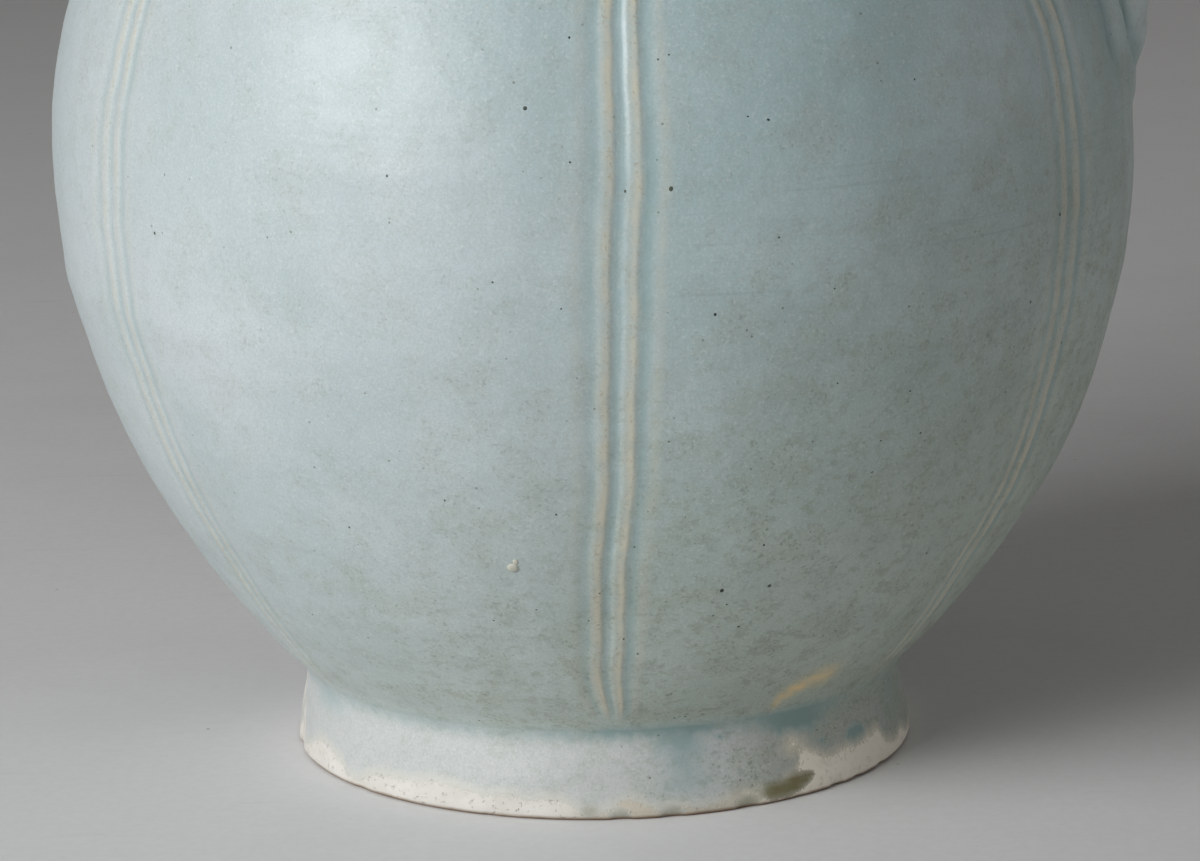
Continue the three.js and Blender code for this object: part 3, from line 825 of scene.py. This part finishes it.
strap_sides = 112
strap_rows = 220
strap_profile = [(0, 0.0)] + [(1.0, float(i)) for i in range(strap_rows)]
strap_profile += [(0, float(strap_rows - 1))]
last_row = len(strap_profile) - 1
strap = turned("handle", strap_profile, strap_sides)
row, step = places_on(strap, strap_profile, strap_sides)
turn_at = side_turns(strap_sides)


def strap_stop():
    """Share of the way along where each side of the strap has sunk into the neck."""
    found = np.ones(strap_sides)
    shares = np.linspace(0.85, 1, 300)
    for k, turn in enumerate(turn_at):
        along = strap_point(shares, np.full(len(shares), turn))
        radius = np.hypot(along[:, 0], along[:, 1])
        sunk = np.nonzero(radius < neck_outer(along[:, 2]) - 1.4)[0]
        found[k] = shares[sunk[0]] if len(sunk) else 1
    return found


stop_at = strap_stop()
is_pole = (row == 0) | (row == last_row)
strap_row = np.clip(row - 1, 0, strap_rows - 1)
share = stop_at[step] * (strap_row / (strap_rows - 1)) ** 1.2
turn = turn_at[step]
points = strap_point(share, turn)
points[row == 0] = strap_point(np.zeros(strap_sides), turn_at).mean(axis=0)
points[row == last_row] = strap_point(stop_at, turn_at).mean(axis=0)
move_points(strap, points)
height = points[:, 2]
neck_gap = polar(points)[1] - neck_outer(height)
across = np.abs(np.cos(turn))
along = share * handle_length
in_lines = bell(across, 0.37, 0.06) * (np.sin(turn) > 0) * smooth(14, 28, along)
pool = 0.9 * bell(above_wall(points), 0.1, 0.7) * (height < 135) + 0.85 * in_lines
pool = np.maximum(np.clip(pool, 0, 1), 0.8 * bell(neck_gap, 0.2, 0.9) * (height > 150))
thin = 0.65 * bell(across, 0.95, 0.05) * smooth(10, 22, along)
mark(strap, pool=np.where(is_pole, 0, pool), thin=np.where(is_pole, 0, thin))


# Tie loops: a short tube with its hole across, settled onto a narrow foot

def tie_loop(name, x, z):
    half = loop_length / 2
    eased = loop_radius - 0.45
    mouth = loop_hole_radius + 0.25
    section = [(mouth, -half), (eased, -half)]
    section += [(loop_radius, up) for up in (0.5 - half, -0.4 * half, 0.4 * half, half - 0.5)]
    section += [(eased, half), (mouth, half)]
    section += [(loop_hole_radius, up) for up in (half - 0.35, 0, 0.35 - half)]
    made = turned(name, section, loop_steps, closed=True)
    ring = coordinates(made)
    radius = polar(ring)[1]
    down = smooth(0.62, 0.98, -ring[:, 1] / radius)
    down = down * smooth(loop_hole_radius + 0.3, loop_radius - 0.5, radius)
    points = ring[:, [0, 2, 1]]
    points[:, 2] -= 0.75 * down
    points[:, 0] *= 1 + 0.06 * down
    points += np.array([x, 0, z + loop_lift])
    move_points(made, points)
    thin = 0.7 * bell(np.abs(ring[:, 2]), half, 0.5)
    mark(made, pool=0.8 * bell(points[:, 2], z, 0.8), thin=thin)
    return made


handle_loop = tie_loop("handle_tie_loop", handle_top_x, handle_top_height + 0.3)
brim_top = mouth_height + brim_thickness
lid_loop = tie_loop("lid_tie_loop", brim_radius - lid_loop_inset, brim_top)

# Lid

lid_steps = 288
dome_top = brim_top + dome_height
flange_inner = flange_outer - flange_wall


def dome_arc(radius, low, high, end_radius, steps):
    rise = (high - low) / math.sqrt(1 - (end_radius / radius) ** 2)
    last = math.acos(end_radius / radius)
    turns = [last * i / steps for i in range(steps + 1)]
    return [(radius * math.cos(t), low + rise * math.sin(t)) for t in turns]


def press_in(points, radius, depth):
    """Move points towards the axis."""
    points[:, :2] *= (1 - depth / np.maximum(radius, 1))[:, None]


under = dome_arc(flange_inner, brim_top, dome_top - lid_wall, 0.001, 14)[:-1]
lid_profile = [(r, mouth_height) for r in (flange_inner, 20, brim_radius - 0.8)]
first_outside_row = len(lid_profile)
lid_profile += [(brim_radius - 0.2, mouth_height + 0.25), (brim_radius, mouth_height + 0.8)]
lid_profile += [(brim_radius, brim_top - 0.8), (brim_radius - 0.25, brim_top - 0.2)]
lid_profile += [(brim_radius - 0.9, brim_top), (24, brim_top - 0.15), (21.4, brim_top - 0.2)]
lid_profile += [(20.3, brim_top), (19.75, brim_top + 0.5)]
first_dome_row = len(lid_profile)
lid_profile += dome_arc(dome_radius, brim_top + 1.6, dome_top, bud_stem_radius, 26)
last_dome_row = len(lid_profile) - 1
lid_profile += [(0, dome_top - 0.1), (0, dome_top - lid_wall)]
lid_profile += under[::-1]
lid_cap = turned("lid_dome", lid_profile, lid_steps, closed=True)
row = places_on(lid_cap, lid_profile, lid_steps)[0]
points = coordinates(lid_cap)
turn, radius = polar(points)
height = points[:, 2]
on_dome = (row >= first_dome_row) & (row <= last_dome_row)
across = np.radians(turn % lobe_angle - lobe_angle / 2) * radius
fade = window(height, brim_top + 1.7, brim_top + 4, dome_top - 2.4, dome_top - 0.6)
carve = 0.32 * bell(across, 0, 0.55) * fade * on_dome
press_in(points, radius, carve)
move_points(lid_cap, points)
outside = (row >= first_outside_row) & (row <= last_dome_row)
pool = np.clip(2.6 * carve + 0.8 * bell(height, brim_top + 0.4, 0.8) * (row > 9), 0, 1)
thin = np.where(outside, 0.8 * bell(row, 5, 1.2), 0)
bare = np.where(outside, -9.0, 2.0)
mark(lid_cap, pool=np.where(outside, pool, 0), thin=thin, bare=bare)

flange_low = mouth_height - flange_depth
flange_profile = [(flange_inner + 0.7, flange_low), (flange_outer - 0.7, flange_low)]
flange_profile += [(flange_outer - 0.15, flange_low + 0.35), (flange_outer, flange_low + 1)]
flange_profile += [(flange_outer, mouth_height - 2), (flange_outer, mouth_height)]
flange_profile += [(flange_inner, mouth_height), (flange_inner, flange_low + 1)]
flange_profile += [(flange_inner + 0.15, flange_low + 0.35)]
lid_flange = turned("lid_locating_ring", flange_profile, lid_steps // 2, closed=True)

bud = [(0, dome_top - 0.3), (bud_stem_radius + 0.9, dome_top - 0.25)]
bud_waist = [(3.75, 1.2), (3.35, 2.2), (3.3, 3.1), (3.75, 4.1)]
bud += [(r, dome_top + z) for r, z in [(bud_stem_radius + 0.25, 0.35)] + bud_waist]
bud_rows = [(0.62, 0.22), (0.76, 0.275), (0.88, 0.335), (0.96, 0.395), (1.0, 0.455), (0.995, 0.515)]
bud_rows += [(0.96, 0.58), (0.89, 0.645), (0.8, 0.71), (0.67, 0.775), (0.52, 0.84), (0.36, 0.895)]
bud_rows += [(0.22, 0.945), (0.12, 0.98), (0.05, 0.997)]
bud += [(bud_radius * r, dome_top + bud_height * z) for r, z in bud_rows]
bud += [(0, dome_top + bud_height)]
lid_bud = turned("lid_bud", bud, lid_steps // 2)
points = coordinates(lid_bud)
turn, radius = polar(points)
up = (points[:, 2] - dome_top) / bud_height
petals = 0.3 * bell(turn % lobe_angle, lobe_angle / 2, 5) * window(up, 0.3, 0.5, 0.86, 0.97)
press_in(points, radius, petals)
move_points(lid_bud, points)
pool = np.clip(2.2 * petals + 0.8 * bell(up, 0.03, 0.04) + 0.6 * bell(up, 0.15, 0.05), 0, 1)
mark(lid_bud, pool=pool, thin=0.8 * bell(up, 1, 0.05))


# Pour hole through the shoulder, in line with the start of the spout

def facing(direction):
    """Turns what is upright into a direction."""
    return Vector((0, 0, 1)).rotation_difference(direction).to_matrix().to_4x4()


past_wall = int(0.28 * spout_steps)
near, far = [Vector((x, 0, z)) for x, z in spout_place[[0, past_wall]]]
drill_axis = (far - near).normalized()
bpy.ops.object.select_all(action="DESELECT")
drill_size = {"radius": pour_hole_radius / 1000, "depth": pour_hole_length / 1000}
bpy.ops.mesh.primitive_cylinder_add(vertices=64, **drill_size)
drill = bpy.context.object
centre = Vector((spout_root[0], 0, spout_root_height)) - drill_axis * pour_hole_setback
drill.data.transform(Matrix.Translation(centre / 1000) @ facing(drill_axis))
cut = body.modifiers.new("pour_hole", "BOOLEAN")
cut.operation = "DIFFERENCE"
cut.solver = "EXACT"
cut.object = drill
choose(body)
bpy.ops.object.modifier_apply(modifier=cut.name)
bpy.data.objects.remove(drill, do_unlink=True)

# Pinholes in the glaze: (front azimuth, height), by size
wide_pinholes = [(-6.7, 96.8), (7.2, 87.1), (14.7, 34.3), (20.7, 34.4), (55.4, 77.9)]
pinholes = [
    (16.9, 94.7), (18.0, 28.5), (11.4, 71.7), (-50.0, 78.4), (50.4, 67.7),
    (12.3, 13.5), (14.2, 13.6), (60.6, 60.1), (44.5, 34.9), (2.8, 86.9),
]
small_pinholes = [
    (2.8, 27.4), (3.8, 41.2), (-3.5, 72.9), (23.4, 73.9), (-1.8, 30.3), (-17.0, 47.7), (4.8, 25.0),
    (-10.0, 76.2), (14.2, 30.5), (-0.3, 34.5), (32.0, 70.5), (33.3, 97.9), (-20.1, 88.7),
    (33.5, 59.4), (30.8, 53.3), (-14.0, 30.3), (17.6, 80.7), (30.5, 49.1), (18.8, 40.6),
    (6.4, 102.1), (7.5, 102.6), (24.5, 61.8), (-8.3, 32.1), (-4.9, 46.0), (36.0, 53.4),
    (-29.6, 42.7), (-43.4, 27.4), (14.9, 95.2), (-22.7, 12.7), (-38.4, 13.5), (15.7, 32.1),
    (-2.4, 104.8), (-2.4, 90.5), (112.0, 70.0), (124.0, 44.0), (97.0, 88.0), (151.0, 52.0),
    (-171.0, 80.0), (-128.0, 60.0),
]


def spots_on_wall(name, sizes, flatness):
    """Flat dots on the wall, as groups of places with a width."""
    bpy.ops.object.select_all(action="DESELECT")
    made = []
    spots = [(front, z, wide) for group, wide in sizes for front, z in group]
    for k, (front, z, wide) in enumerate(spots):
        azimuth = front - 90 + np.array([0, 0.3, 0])
        height = z + np.array([0, 0, 0.4])
        a, b, c = [Vector(p) for p in placed(wall_radius(azimuth, height), azimuth, height)]
        normal = (b - a).cross(c - a).normalized()
        bpy.ops.mesh.primitive_uv_sphere_add(segments=10, ring_count=6, radius=wide / 2000)
        dot = bpy.context.object
        flat = Matrix.Diagonal((1, 1 + 0.25 * math.sin(k), flatness, 1))
        dot.data.transform(Matrix.Translation(a / 1000) @ facing(normal) @ flat)
        made.append(dot)
    for dot in made:
        dot.select_set(True)
    bpy.context.view_layer.objects.active = made[0]
    bpy.ops.object.join()
    joined = bpy.context.object
    joined.name = name
    joined.data.name = name
    return joined


pinhole_sizes = [(wide_pinholes, 0.52), (pinholes, 0.37), (small_pinholes, 0.27)]
pinhole_marks = spots_on_wall("glaze_pinholes", pinhole_sizes, 0.12)
blister_parts = [([(-10.4, 38.4)], 1.5), ([(-10.0, 39.3)], 0.7)]
blister = spots_on_wall("glaze_blister", blister_parts, 0.3)


# Materials written as expressions

class Value:
    """A shader value that arithmetic works on."""

    def __init__(self, shader, socket):
        self.shader = shader
        self.socket = socket

    def __add__(self, other):
        return self.shader.math("ADD", self, other)

    def __sub__(self, other):
        return self.shader.math("SUBTRACT", self, other)

    def __mul__(self, other):
        return self.shader.math("MULTIPLY", self, other)

    def __rsub__(self, other):
        return self.shader.math("SUBTRACT", other, self)

    __radd__ = __add__
    __rmul__ = __mul__


class Shader:
    """A material under way: base is its colour so far."""

    def __init__(self, name):
        self.material = bpy.data.materials.new(name)
        self.material.use_nodes = True
        self.tree = self.material.node_tree
        self.tree.nodes.clear()

    def node(self, kind, settings, inputs, output=0):
        made = self.tree.nodes.new(kind)
        for name, value in settings.items():
            setattr(made, name, value)
        for name, value in inputs.items():
            if isinstance(value, Value):
                self.tree.links.new(value.socket, made.inputs[name])
            else:
                made.inputs[name].default_value = value
        return Value(self, made.outputs[output])

    def math(self, operation, *values):
        return self.node("ShaderNodeMath", {"operation": operation}, dict(enumerate(values)))

    def ramp(self, value, low, high, start=0.0, end=1.0):
        settings = {"interpolation_type": "SMOOTHSTEP"}
        inputs = {0: value, 1: low, 2: high, 3: start, 4: end}
        return self.node("ShaderNodeMapRange", settings, inputs)

    def blend(self, factor, first, second):
        """Between two colours, each a link or (red, green, blue)."""
        pair = [tint if isinstance(tint, Value) else (*tint, 1.0) for tint in (first, second)]
        inputs = {0: factor, 6: pair[0], 7: pair[1]}
        return self.node("ShaderNodeMix", {"data_type": "RGBA"}, inputs, 2)

    def coat(self, share, tint):
        """Lay a colour over a share of what is there."""
        self.base = self.blend(share, self.base, tint)

    def noise(self, vector, scale, detail, roughness):
        """Even noise, or stretched noise where the scale is (x, y, z)."""
        if isinstance(scale, tuple):
            stretch = {0: vector, 1: scale}
            vector = self.node("ShaderNodeVectorMath", {"operation": "MULTIPLY"}, stretch)
            scale = 1.0
        inputs = {"Vector": vector, "Scale": scale, "Detail": detail, "Roughness": roughness}
        return self.node("ShaderNodeTexNoise", {}, inputs)

    def patchy(self, vector, scale, detail, roughness, low, high):
        """Noise cut into patches: 0 below low, 1 above high."""
        return self.ramp(self.noise(vector, scale, detail, roughness), low, high)

    def cells(self, vector, scale):
        return self.node("ShaderNodeTexVoronoi", {}, {"Vector": vector, "Scale": scale})

    def attribute(self, name):
        return self.node("ShaderNodeAttribute", {"attribute_name": name}, {}, "Fac")

    def object_point(self):
        return self.node("ShaderNodeTexCoord", {}, {}, "Object")

    def split(self, vector):
        made = self.node("ShaderNodeSeparateXYZ", {}, {0: vector})
        outputs = made.socket.node.outputs
        return [Value(self, outputs[k]) for k in range(3)]

    def bump(self, height):
        inputs = {"Height": height, "Strength": 1.0, "Distance": 1.0}
        return self.node("ShaderNodeBump", {}, inputs)

    def surface(self, **inputs):
        inputs["Base Color"] = self.base
        made = self.node("ShaderNodeBsdfPrincipled", {}, inputs)
        end = self.tree.nodes.new("ShaderNodeOutputMaterial")
        self.tree.links.new(made.socket, end.inputs["Surface"])
        return self.material


def glaze_material(name):
    s = Shader(name)
    point = s.object_point()
    x, y, z = s.split(point)
    marks = ["pool", "thin", "stain", "bare", "olive"]
    pool, thin, stain, bare, olive = [s.attribute(mark_name) for mark_name in marks]
    mottle = s.noise(point, 170, 4, 0.6)
    grain = s.noise(point, (560.0, 560.0, 760.0), 5, 0.75)

    # Cool glaze, warmer low on the right, paler on the foot, and paler beside the handle as painted
    # light
    tone = s.patchy(point, 38, 3, 0.55, 0.36, 0.66)
    low_right = s.ramp(x * 0.55 - z * 0.75 - y * 0.1, -0.060, 0.020)
    # painted shade: towards the right the glaze turns darker and more teal, partly its own tone and
    # partly the side away from the key lamp
    painted_shade_to_right = s.ramp(x, -0.05, 0.035)
    light_cool = s.blend(painted_shade_to_right, (0.553, 0.611, 0.636), (0.442, 0.575, 0.60))
    deep_cool = s.blend(painted_shade_to_right, (0.485, 0.565, 0.585), (0.388, 0.527, 0.55))
    cool = s.blend(tone, light_cool, deep_cool)
    warm = s.blend(tone, (0.52, 0.567, 0.492), (0.455, 0.507, 0.418))
    s.base = s.blend(low_right * 0.9, cool, warm)
    # darker patches, partly mottle and partly painted shade, growing towards the right
    dull_patches_and_shade = s.patchy(point, 95, 3, 0.55, 0.46, 0.62) * (0.03 + painted_shade_to_right * 0.2)
    s.coat(dull_patches_and_shade, (0.32, 0.385, 0.365))
    # painted light: the handle's root and the wall beside it paler, where the fill lamp falls
    painted_light_beside_handle = s.ramp(s.math("ABSOLUTE", y), 0.0225, 0.0165) * s.ramp(x, 0.061, 0.065)
    painted_light_beside_handle = painted_light_beside_handle * s.ramp(z, 0.091, 0.099) * s.ramp(z, 0.128, 0.110)
    s.coat(painted_light_beside_handle * 0.62, (0.68, 0.77, 0.78))
    # painted shade: the glaze darker along the left edge
    s.coat(s.ramp(x, -0.050, -0.066) * 0.22, (0.44, 0.50, 0.51))
    on_foot = s.ramp(z, 0.0132, 0.0092)
    foot_tone = s.blend(s.ramp(x, 0.013, 0.026), (0.59, 0.60, 0.60), (0.405, 0.425, 0.39))
    s.coat(on_foot * 0.85, foot_tone)

    # Mottle and specks, denser low on the right, less on the foot's left
    on_body = 1.0 - on_foot * s.ramp(x, 0.02, -0.005) * 0.7
    blotch = s.ramp(mottle, 0.46, 0.66) * (0.15 + low_right * 0.4) * on_body
    s.coat(blotch, (0.385, 0.42, 0.335))
    smudged = s.patchy(point, (360.0, 360.0, 560.0), 4, 0.7, 0.53, 0.63)
    s.coat(smudged * (0.04 + low_right * 0.56) * on_body, (0.295, 0.325, 0.25))
    speck = s.ramp(grain, 0.53, 0.66) * (0.13 + low_right * 0.46) * on_body
    s.coat(speck, (0.27, 0.31, 0.26))
    gathered = s.ramp(mottle, 0.40, 0.62) * on_body
    fine_specks = s.patchy(point, 1650, 2, 0.6, 0.57, 0.67) * gathered
    s.coat(fine_specks * (0.2 + low_right * 0.62), (0.20, 0.24, 0.20))
    dots = s.ramp(s.cells(point, 900) + grain * 0.35, 0.34, 0.22) * gathered
    s.coat(dots * (0.35 + low_right * 0.5), (0.14, 0.175, 0.145))
    s.coat(s.patchy(point, 2600, 2, 0.6, 0.52, 0.70) * 0.36, (0.66, 0.70, 0.69))
    s.coat(s.patchy(point, 3400, 2, 0.6, 0.42, 0.60) * 0.2, (0.30, 0.35, 0.33))
    belt = s.ramp(z, 0.066, 0.074) * s.ramp(z, 0.094, 0.086) * s.ramp(x, 0.004, 0.016)
    belt = belt * s.patchy(point, 60, 2, 0.5, 0.4, 0.6)
    thrown = s.patchy(point, (12.0, 12.0, 1300.0), 2, 0.6, 0.56, 0.68)
    s.coat(thrown * belt * 0.3, (0.28, 0.37, 0.37))

    # Glaze run together, drawn thin, stained, olive, and specks of iron
    uneven = s.patchy(point, 260, 3, 0.6, 0.3, 0.7)
    pooled = s.math("MINIMUM", pool * (0.6 + uneven * 0.55), 1.0)
    s.coat(pooled * 0.8, (0.275, 0.405, 0.41))
    s.coat(s.ramp(pool, 0.7, 1.45) * 0.7, (0.20, 0.31, 0.285))
    cream = s.math("MINIMUM", thin * (0.5 + uneven * 0.7), 1.0)
    s.coat(cream * 0.92, (0.62, 0.60, 0.485))
    fleck = s.patchy(point, 2000, 3, 0.6, 0.57, 0.66) * s.ramp(thin, 0.1, 0.6) * 0.42
    s.coat(fleck, (0.36, 0.30, 0.19))
    s.coat(stain * (0.6 + uneven * 0.5), (0.86, 0.645, 0.335))
    s.coat(olive * (0.86 + uneven * 0.14), (0.195, 0.17, 0.07))
    iron = s.ramp(s.cells(point, 420), 0.085, 0.045) * s.patchy(point, 75, 2, 0.5, 0.45, 0.6)
    s.coat(iron * 0.7, (0.13, 0.14, 0.10))

    # Bare clay with a ragged edge, the glaze thinning towards it, both paler on the right as painted
    # light on that shaded side
    ragged = bare + (s.noise(point, 800, 6, 0.8) - 0.5) * 2.0
    thinning = s.ramp(ragged, -1.8, 0.0) * (1.0 - olive)
    # painted light: the thinning glaze and bare clay paler on the right, the side in shade
    painted_light_on_right = s.ramp(x, 0.011, 0.022)
    s.coat(thinning * 0.6, s.blend(painted_light_on_right, (0.68, 0.665, 0.59), (0.82, 0.74, 0.60)))
    edge = ragged + (s.noise(point, 3200, 2, 0.6) - 0.5) * 1.7
    clay = s.ramp(edge - olive * 0.8, -0.25, 0.25)
    clay_tone = s.blend(s.ramp(mottle, 0.3, 0.7), (0.735, 0.715, 0.67), (0.67, 0.645, 0.595))
    low_middle = s.ramp(x, -0.009, 0.004) * s.ramp(x, 0.024, 0.014)
    clay_tone = s.blend(painted_light_on_right, clay_tone, (0.93, 0.87, 0.76))
    clay_tone = s.blend(low_middle * 0.85, clay_tone, (0.60, 0.55, 0.45))
    dirt = s.patchy(point, 330, 5, 0.7, 0.55, 0.75) * 0.28
    s.coat(clay, s.blend(dirt, clay_tone, (0.42, 0.36, 0.27)))
    # painted shadow: a dark brown line along the standing edge, where the foot meets the floor
    painted_contact_shadow = s.ramp(z + s.noise(point, 240, 2, 0.5) * 0.0004, 0.0003, 0.00095, 1.0, 0.0)
    s.coat(painted_contact_shadow * 0.92, (0.20, 0.115, 0.055))

    roughness = 0.375 + s.ramp(mottle, 0.3, 0.7) * 0.06 + clay * 0.4 - pooled * 0.08
    lines = s.noise(point, (9.0, 9.0, 330.0), 3, 0.5)
    skin = s.noise(point, 210, 3, 0.55)
    pits = s.patchy(point, 1500, 2, 0.5, 0.60, 0.75) * clay
    height = lines * 0.00009 + skin * 0.00016 + grain * 0.00002 - clay * 0.00003
    normal = s.bump(height - pits * 0.00014)
    return s.surface(Roughness=roughness, IOR=1.5, Normal=normal)


def clay_material(name):
    s = Shader(name)
    point = s.object_point()
    tone = s.patchy(point, 160, 5, 0.6, 0.35, 0.68)
    s.base = s.blend(tone, (0.70, 0.65, 0.55), (0.57, 0.51, 0.41))
    s.coat(s.patchy(point, 1300, 2, 0.5, 0.62, 0.72) * 0.5, (0.34, 0.26, 0.17))
    normal = s.bump(s.noise(point, 900, 4, 0.6) * 0.00012)
    return s.surface(Roughness=0.85, Normal=normal)


def spot_material(name, patches, first, second):
    s = Shader(name)
    s.base = s.blend(s.patchy(s.object_point(), *patches), first, second)
    return s.surface(Roughness=0.5)


def floor_material(name):
    s = Shader(name)
    point = s.object_point()
    smudge = s.patchy(point, 17, 5, 0.6, 0.42, 0.72)
    s.base = s.blend(smudge * 0.5, (0.782, 0.78, 0.785), (0.705, 0.703, 0.706))
    s.coat(s.patchy(point, 620, 5, 0.75, 0.38, 0.62) * 0.24, (0.68, 0.675, 0.67))
    # painted light: the floor paler further back
    s.coat(s.ramp(s.split(point)[1], 0.12, 0.8) * 0.7, (0.86, 0.86, 0.865))
    scratches = s.patchy(point, (40.0, 330.0, 1.0), 3, 0.6, 0.62, 0.74)
    s.coat(scratches * 0.12, (0.5, 0.48, 0.45))
    small = s.ramp(s.cells(point, 110), 0.035, 0.02)
    dust = s.math("MAXIMUM", s.ramp(s.cells(point, 46), 0.026, 0.014), small)
    dust = dust * s.patchy(point, 21, 1, 0.5, 0.5, 0.6)
    s.coat(dust * 0.75, (0.14, 0.13, 0.13))
    return s.surface(Roughness=0.9)


def dress(made, material):
    made.data.materials.clear()
    made.data.materials.append(material)


glaze = glaze_material("pale_glaze")
foot_glaze = glaze_material("pale_glaze_on_foot")
lid_glaze = glaze_material("pale_glaze_on_lid")
clay = clay_material("bare_clay")
dark = spot_material("pinhole", (260, 2, 0.5, 0.35, 0.65), (0.03, 0.045, 0.042), (0.085, 0.10, 0.08))
pale = spot_material("blister", (900, 3, 0.6, 0.4, 0.65), (0.62, 0.61, 0.52), (0.50, 0.52, 0.44))

for made, material, body_name, nodes, slot in [
    (body, glaze, "vessel", ["lower_body", "upper_body", "shoulder", "neck"], "body_glaze"),
    (foot, foot_glaze, "vessel", ["foot_ring"], "foot"),
    (spout, glaze, "vessel", ["spout"], "body_glaze"),
    (strap, glaze, "vessel", ["handle_strap"], "body_glaze"),
    (handle_loop, glaze, "vessel", ["handle_loop"], "body_glaze"),
    (pinhole_marks, dark, "vessel", [], "body_glaze"),
    (blister, pale, "vessel", [], "body_glaze"),
    (lid_cap, lid_glaze, "lid", ["lid_cap"], "lid_glaze"),
    (lid_flange, clay, "lid", ["lid_flange"], "bare_clay"),
    (lid_bud, lid_glaze, "lid", ["lid_finial"], "lid_glaze"),
    (lid_loop, lid_glaze, "lid", ["lid_loop"], "lid_glaze"),
]:
    dress(made, material)
    soften(made)
    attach(made, body_name)
    if nodes:
        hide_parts(*nodes)

# Floor: a wide pale round with its rim curving up into a wall

floor_flat = 2900
floor_curve = 900
cove = [(r, 0) for r in (0, 400, 1200, 2200, floor_flat)]
for t in np.linspace(0.2, math.pi / 2, 8).tolist():
    cove.append((floor_flat + floor_curve * math.sin(t), floor_curve - floor_curve * math.cos(t)))
cove.append((floor_flat + floor_curve, 2600))
floor = turned("floor", cove, 96)
dress(floor, floor_material("paper"))
soften(floor)


# Light: one large soft lamp at the left, a weak one at the right, and a dim even surround

def soft_lamp(name, azimuth, elevation, distance, size, power):
    data = bpy.data.lights.new(name, "AREA")
    data.shape = "RECTANGLE"
    data.size, data.size_y = size
    data.energy = power
    lamp = bpy.data.objects.new(name, data)
    bpy.context.collection.objects.link(lamp)
    az = math.radians(azimuth)
    el = math.radians(elevation)
    towards = Vector((math.cos(az) * math.cos(el), math.sin(az) * math.cos(el), math.sin(el)))
    aim = Vector((0, 0, 0.08))
    lamp.location = aim + towards * distance
    lamp.rotation_euler = (-towards).to_track_quat("-Z", "Y").to_euler()


soft_lamp("key", azimuth=-137, elevation=23, distance=1.05, size=(0.7, 0.55), power=9.9)
soft_lamp("fill", azimuth=6, elevation=12, distance=1.6, size=(1.0, 1.0), power=3.1)
world = bpy.data.worlds.new("surround")
world.use_nodes = True
surround = world.node_tree.nodes["Background"].inputs
surround["Color"].default_value = (1.0, 0.978, 0.935, 1.0)
surround["Strength"].default_value = 0.110
bpy.context.scene.world = world

# Camera

camera_elevation = math.radians(12.83)
camera_roll = math.radians(-0.92)
camera_distance = 0.594
ahead = Vector((0, math.cos(camera_elevation), -math.sin(camera_elevation)))
level = Vector((1, 0, 0))
upward = Vector((0, math.sin(camera_elevation), math.cos(camera_elevation)))
camera_right = level * math.cos(camera_roll) + upward * math.sin(camera_roll)
camera_up = -level * math.sin(camera_roll) + upward * math.cos(camera_roll)
camera_data = bpy.data.cameras.new("camera")
camera_data.sensor_fit = "HORIZONTAL"
camera_data.sensor_width = 36
camera_data.lens = 131.16
camera_data.clip_start = 0.05
camera_data.clip_end = 20
camera = bpy.data.objects.new("camera", camera_data)
bpy.context.collection.objects.link(camera)
axes = Matrix((camera_right, camera_up, -ahead)).transposed().to_4x4()
target = Vector((0.000067, 0, 0.042))
camera.matrix_world = Matrix.Translation(target - ahead * camera_distance) @ axes
bpy.context.scene.camera = camera
bpy.context.scene.view_settings.view_transform = "Standard"
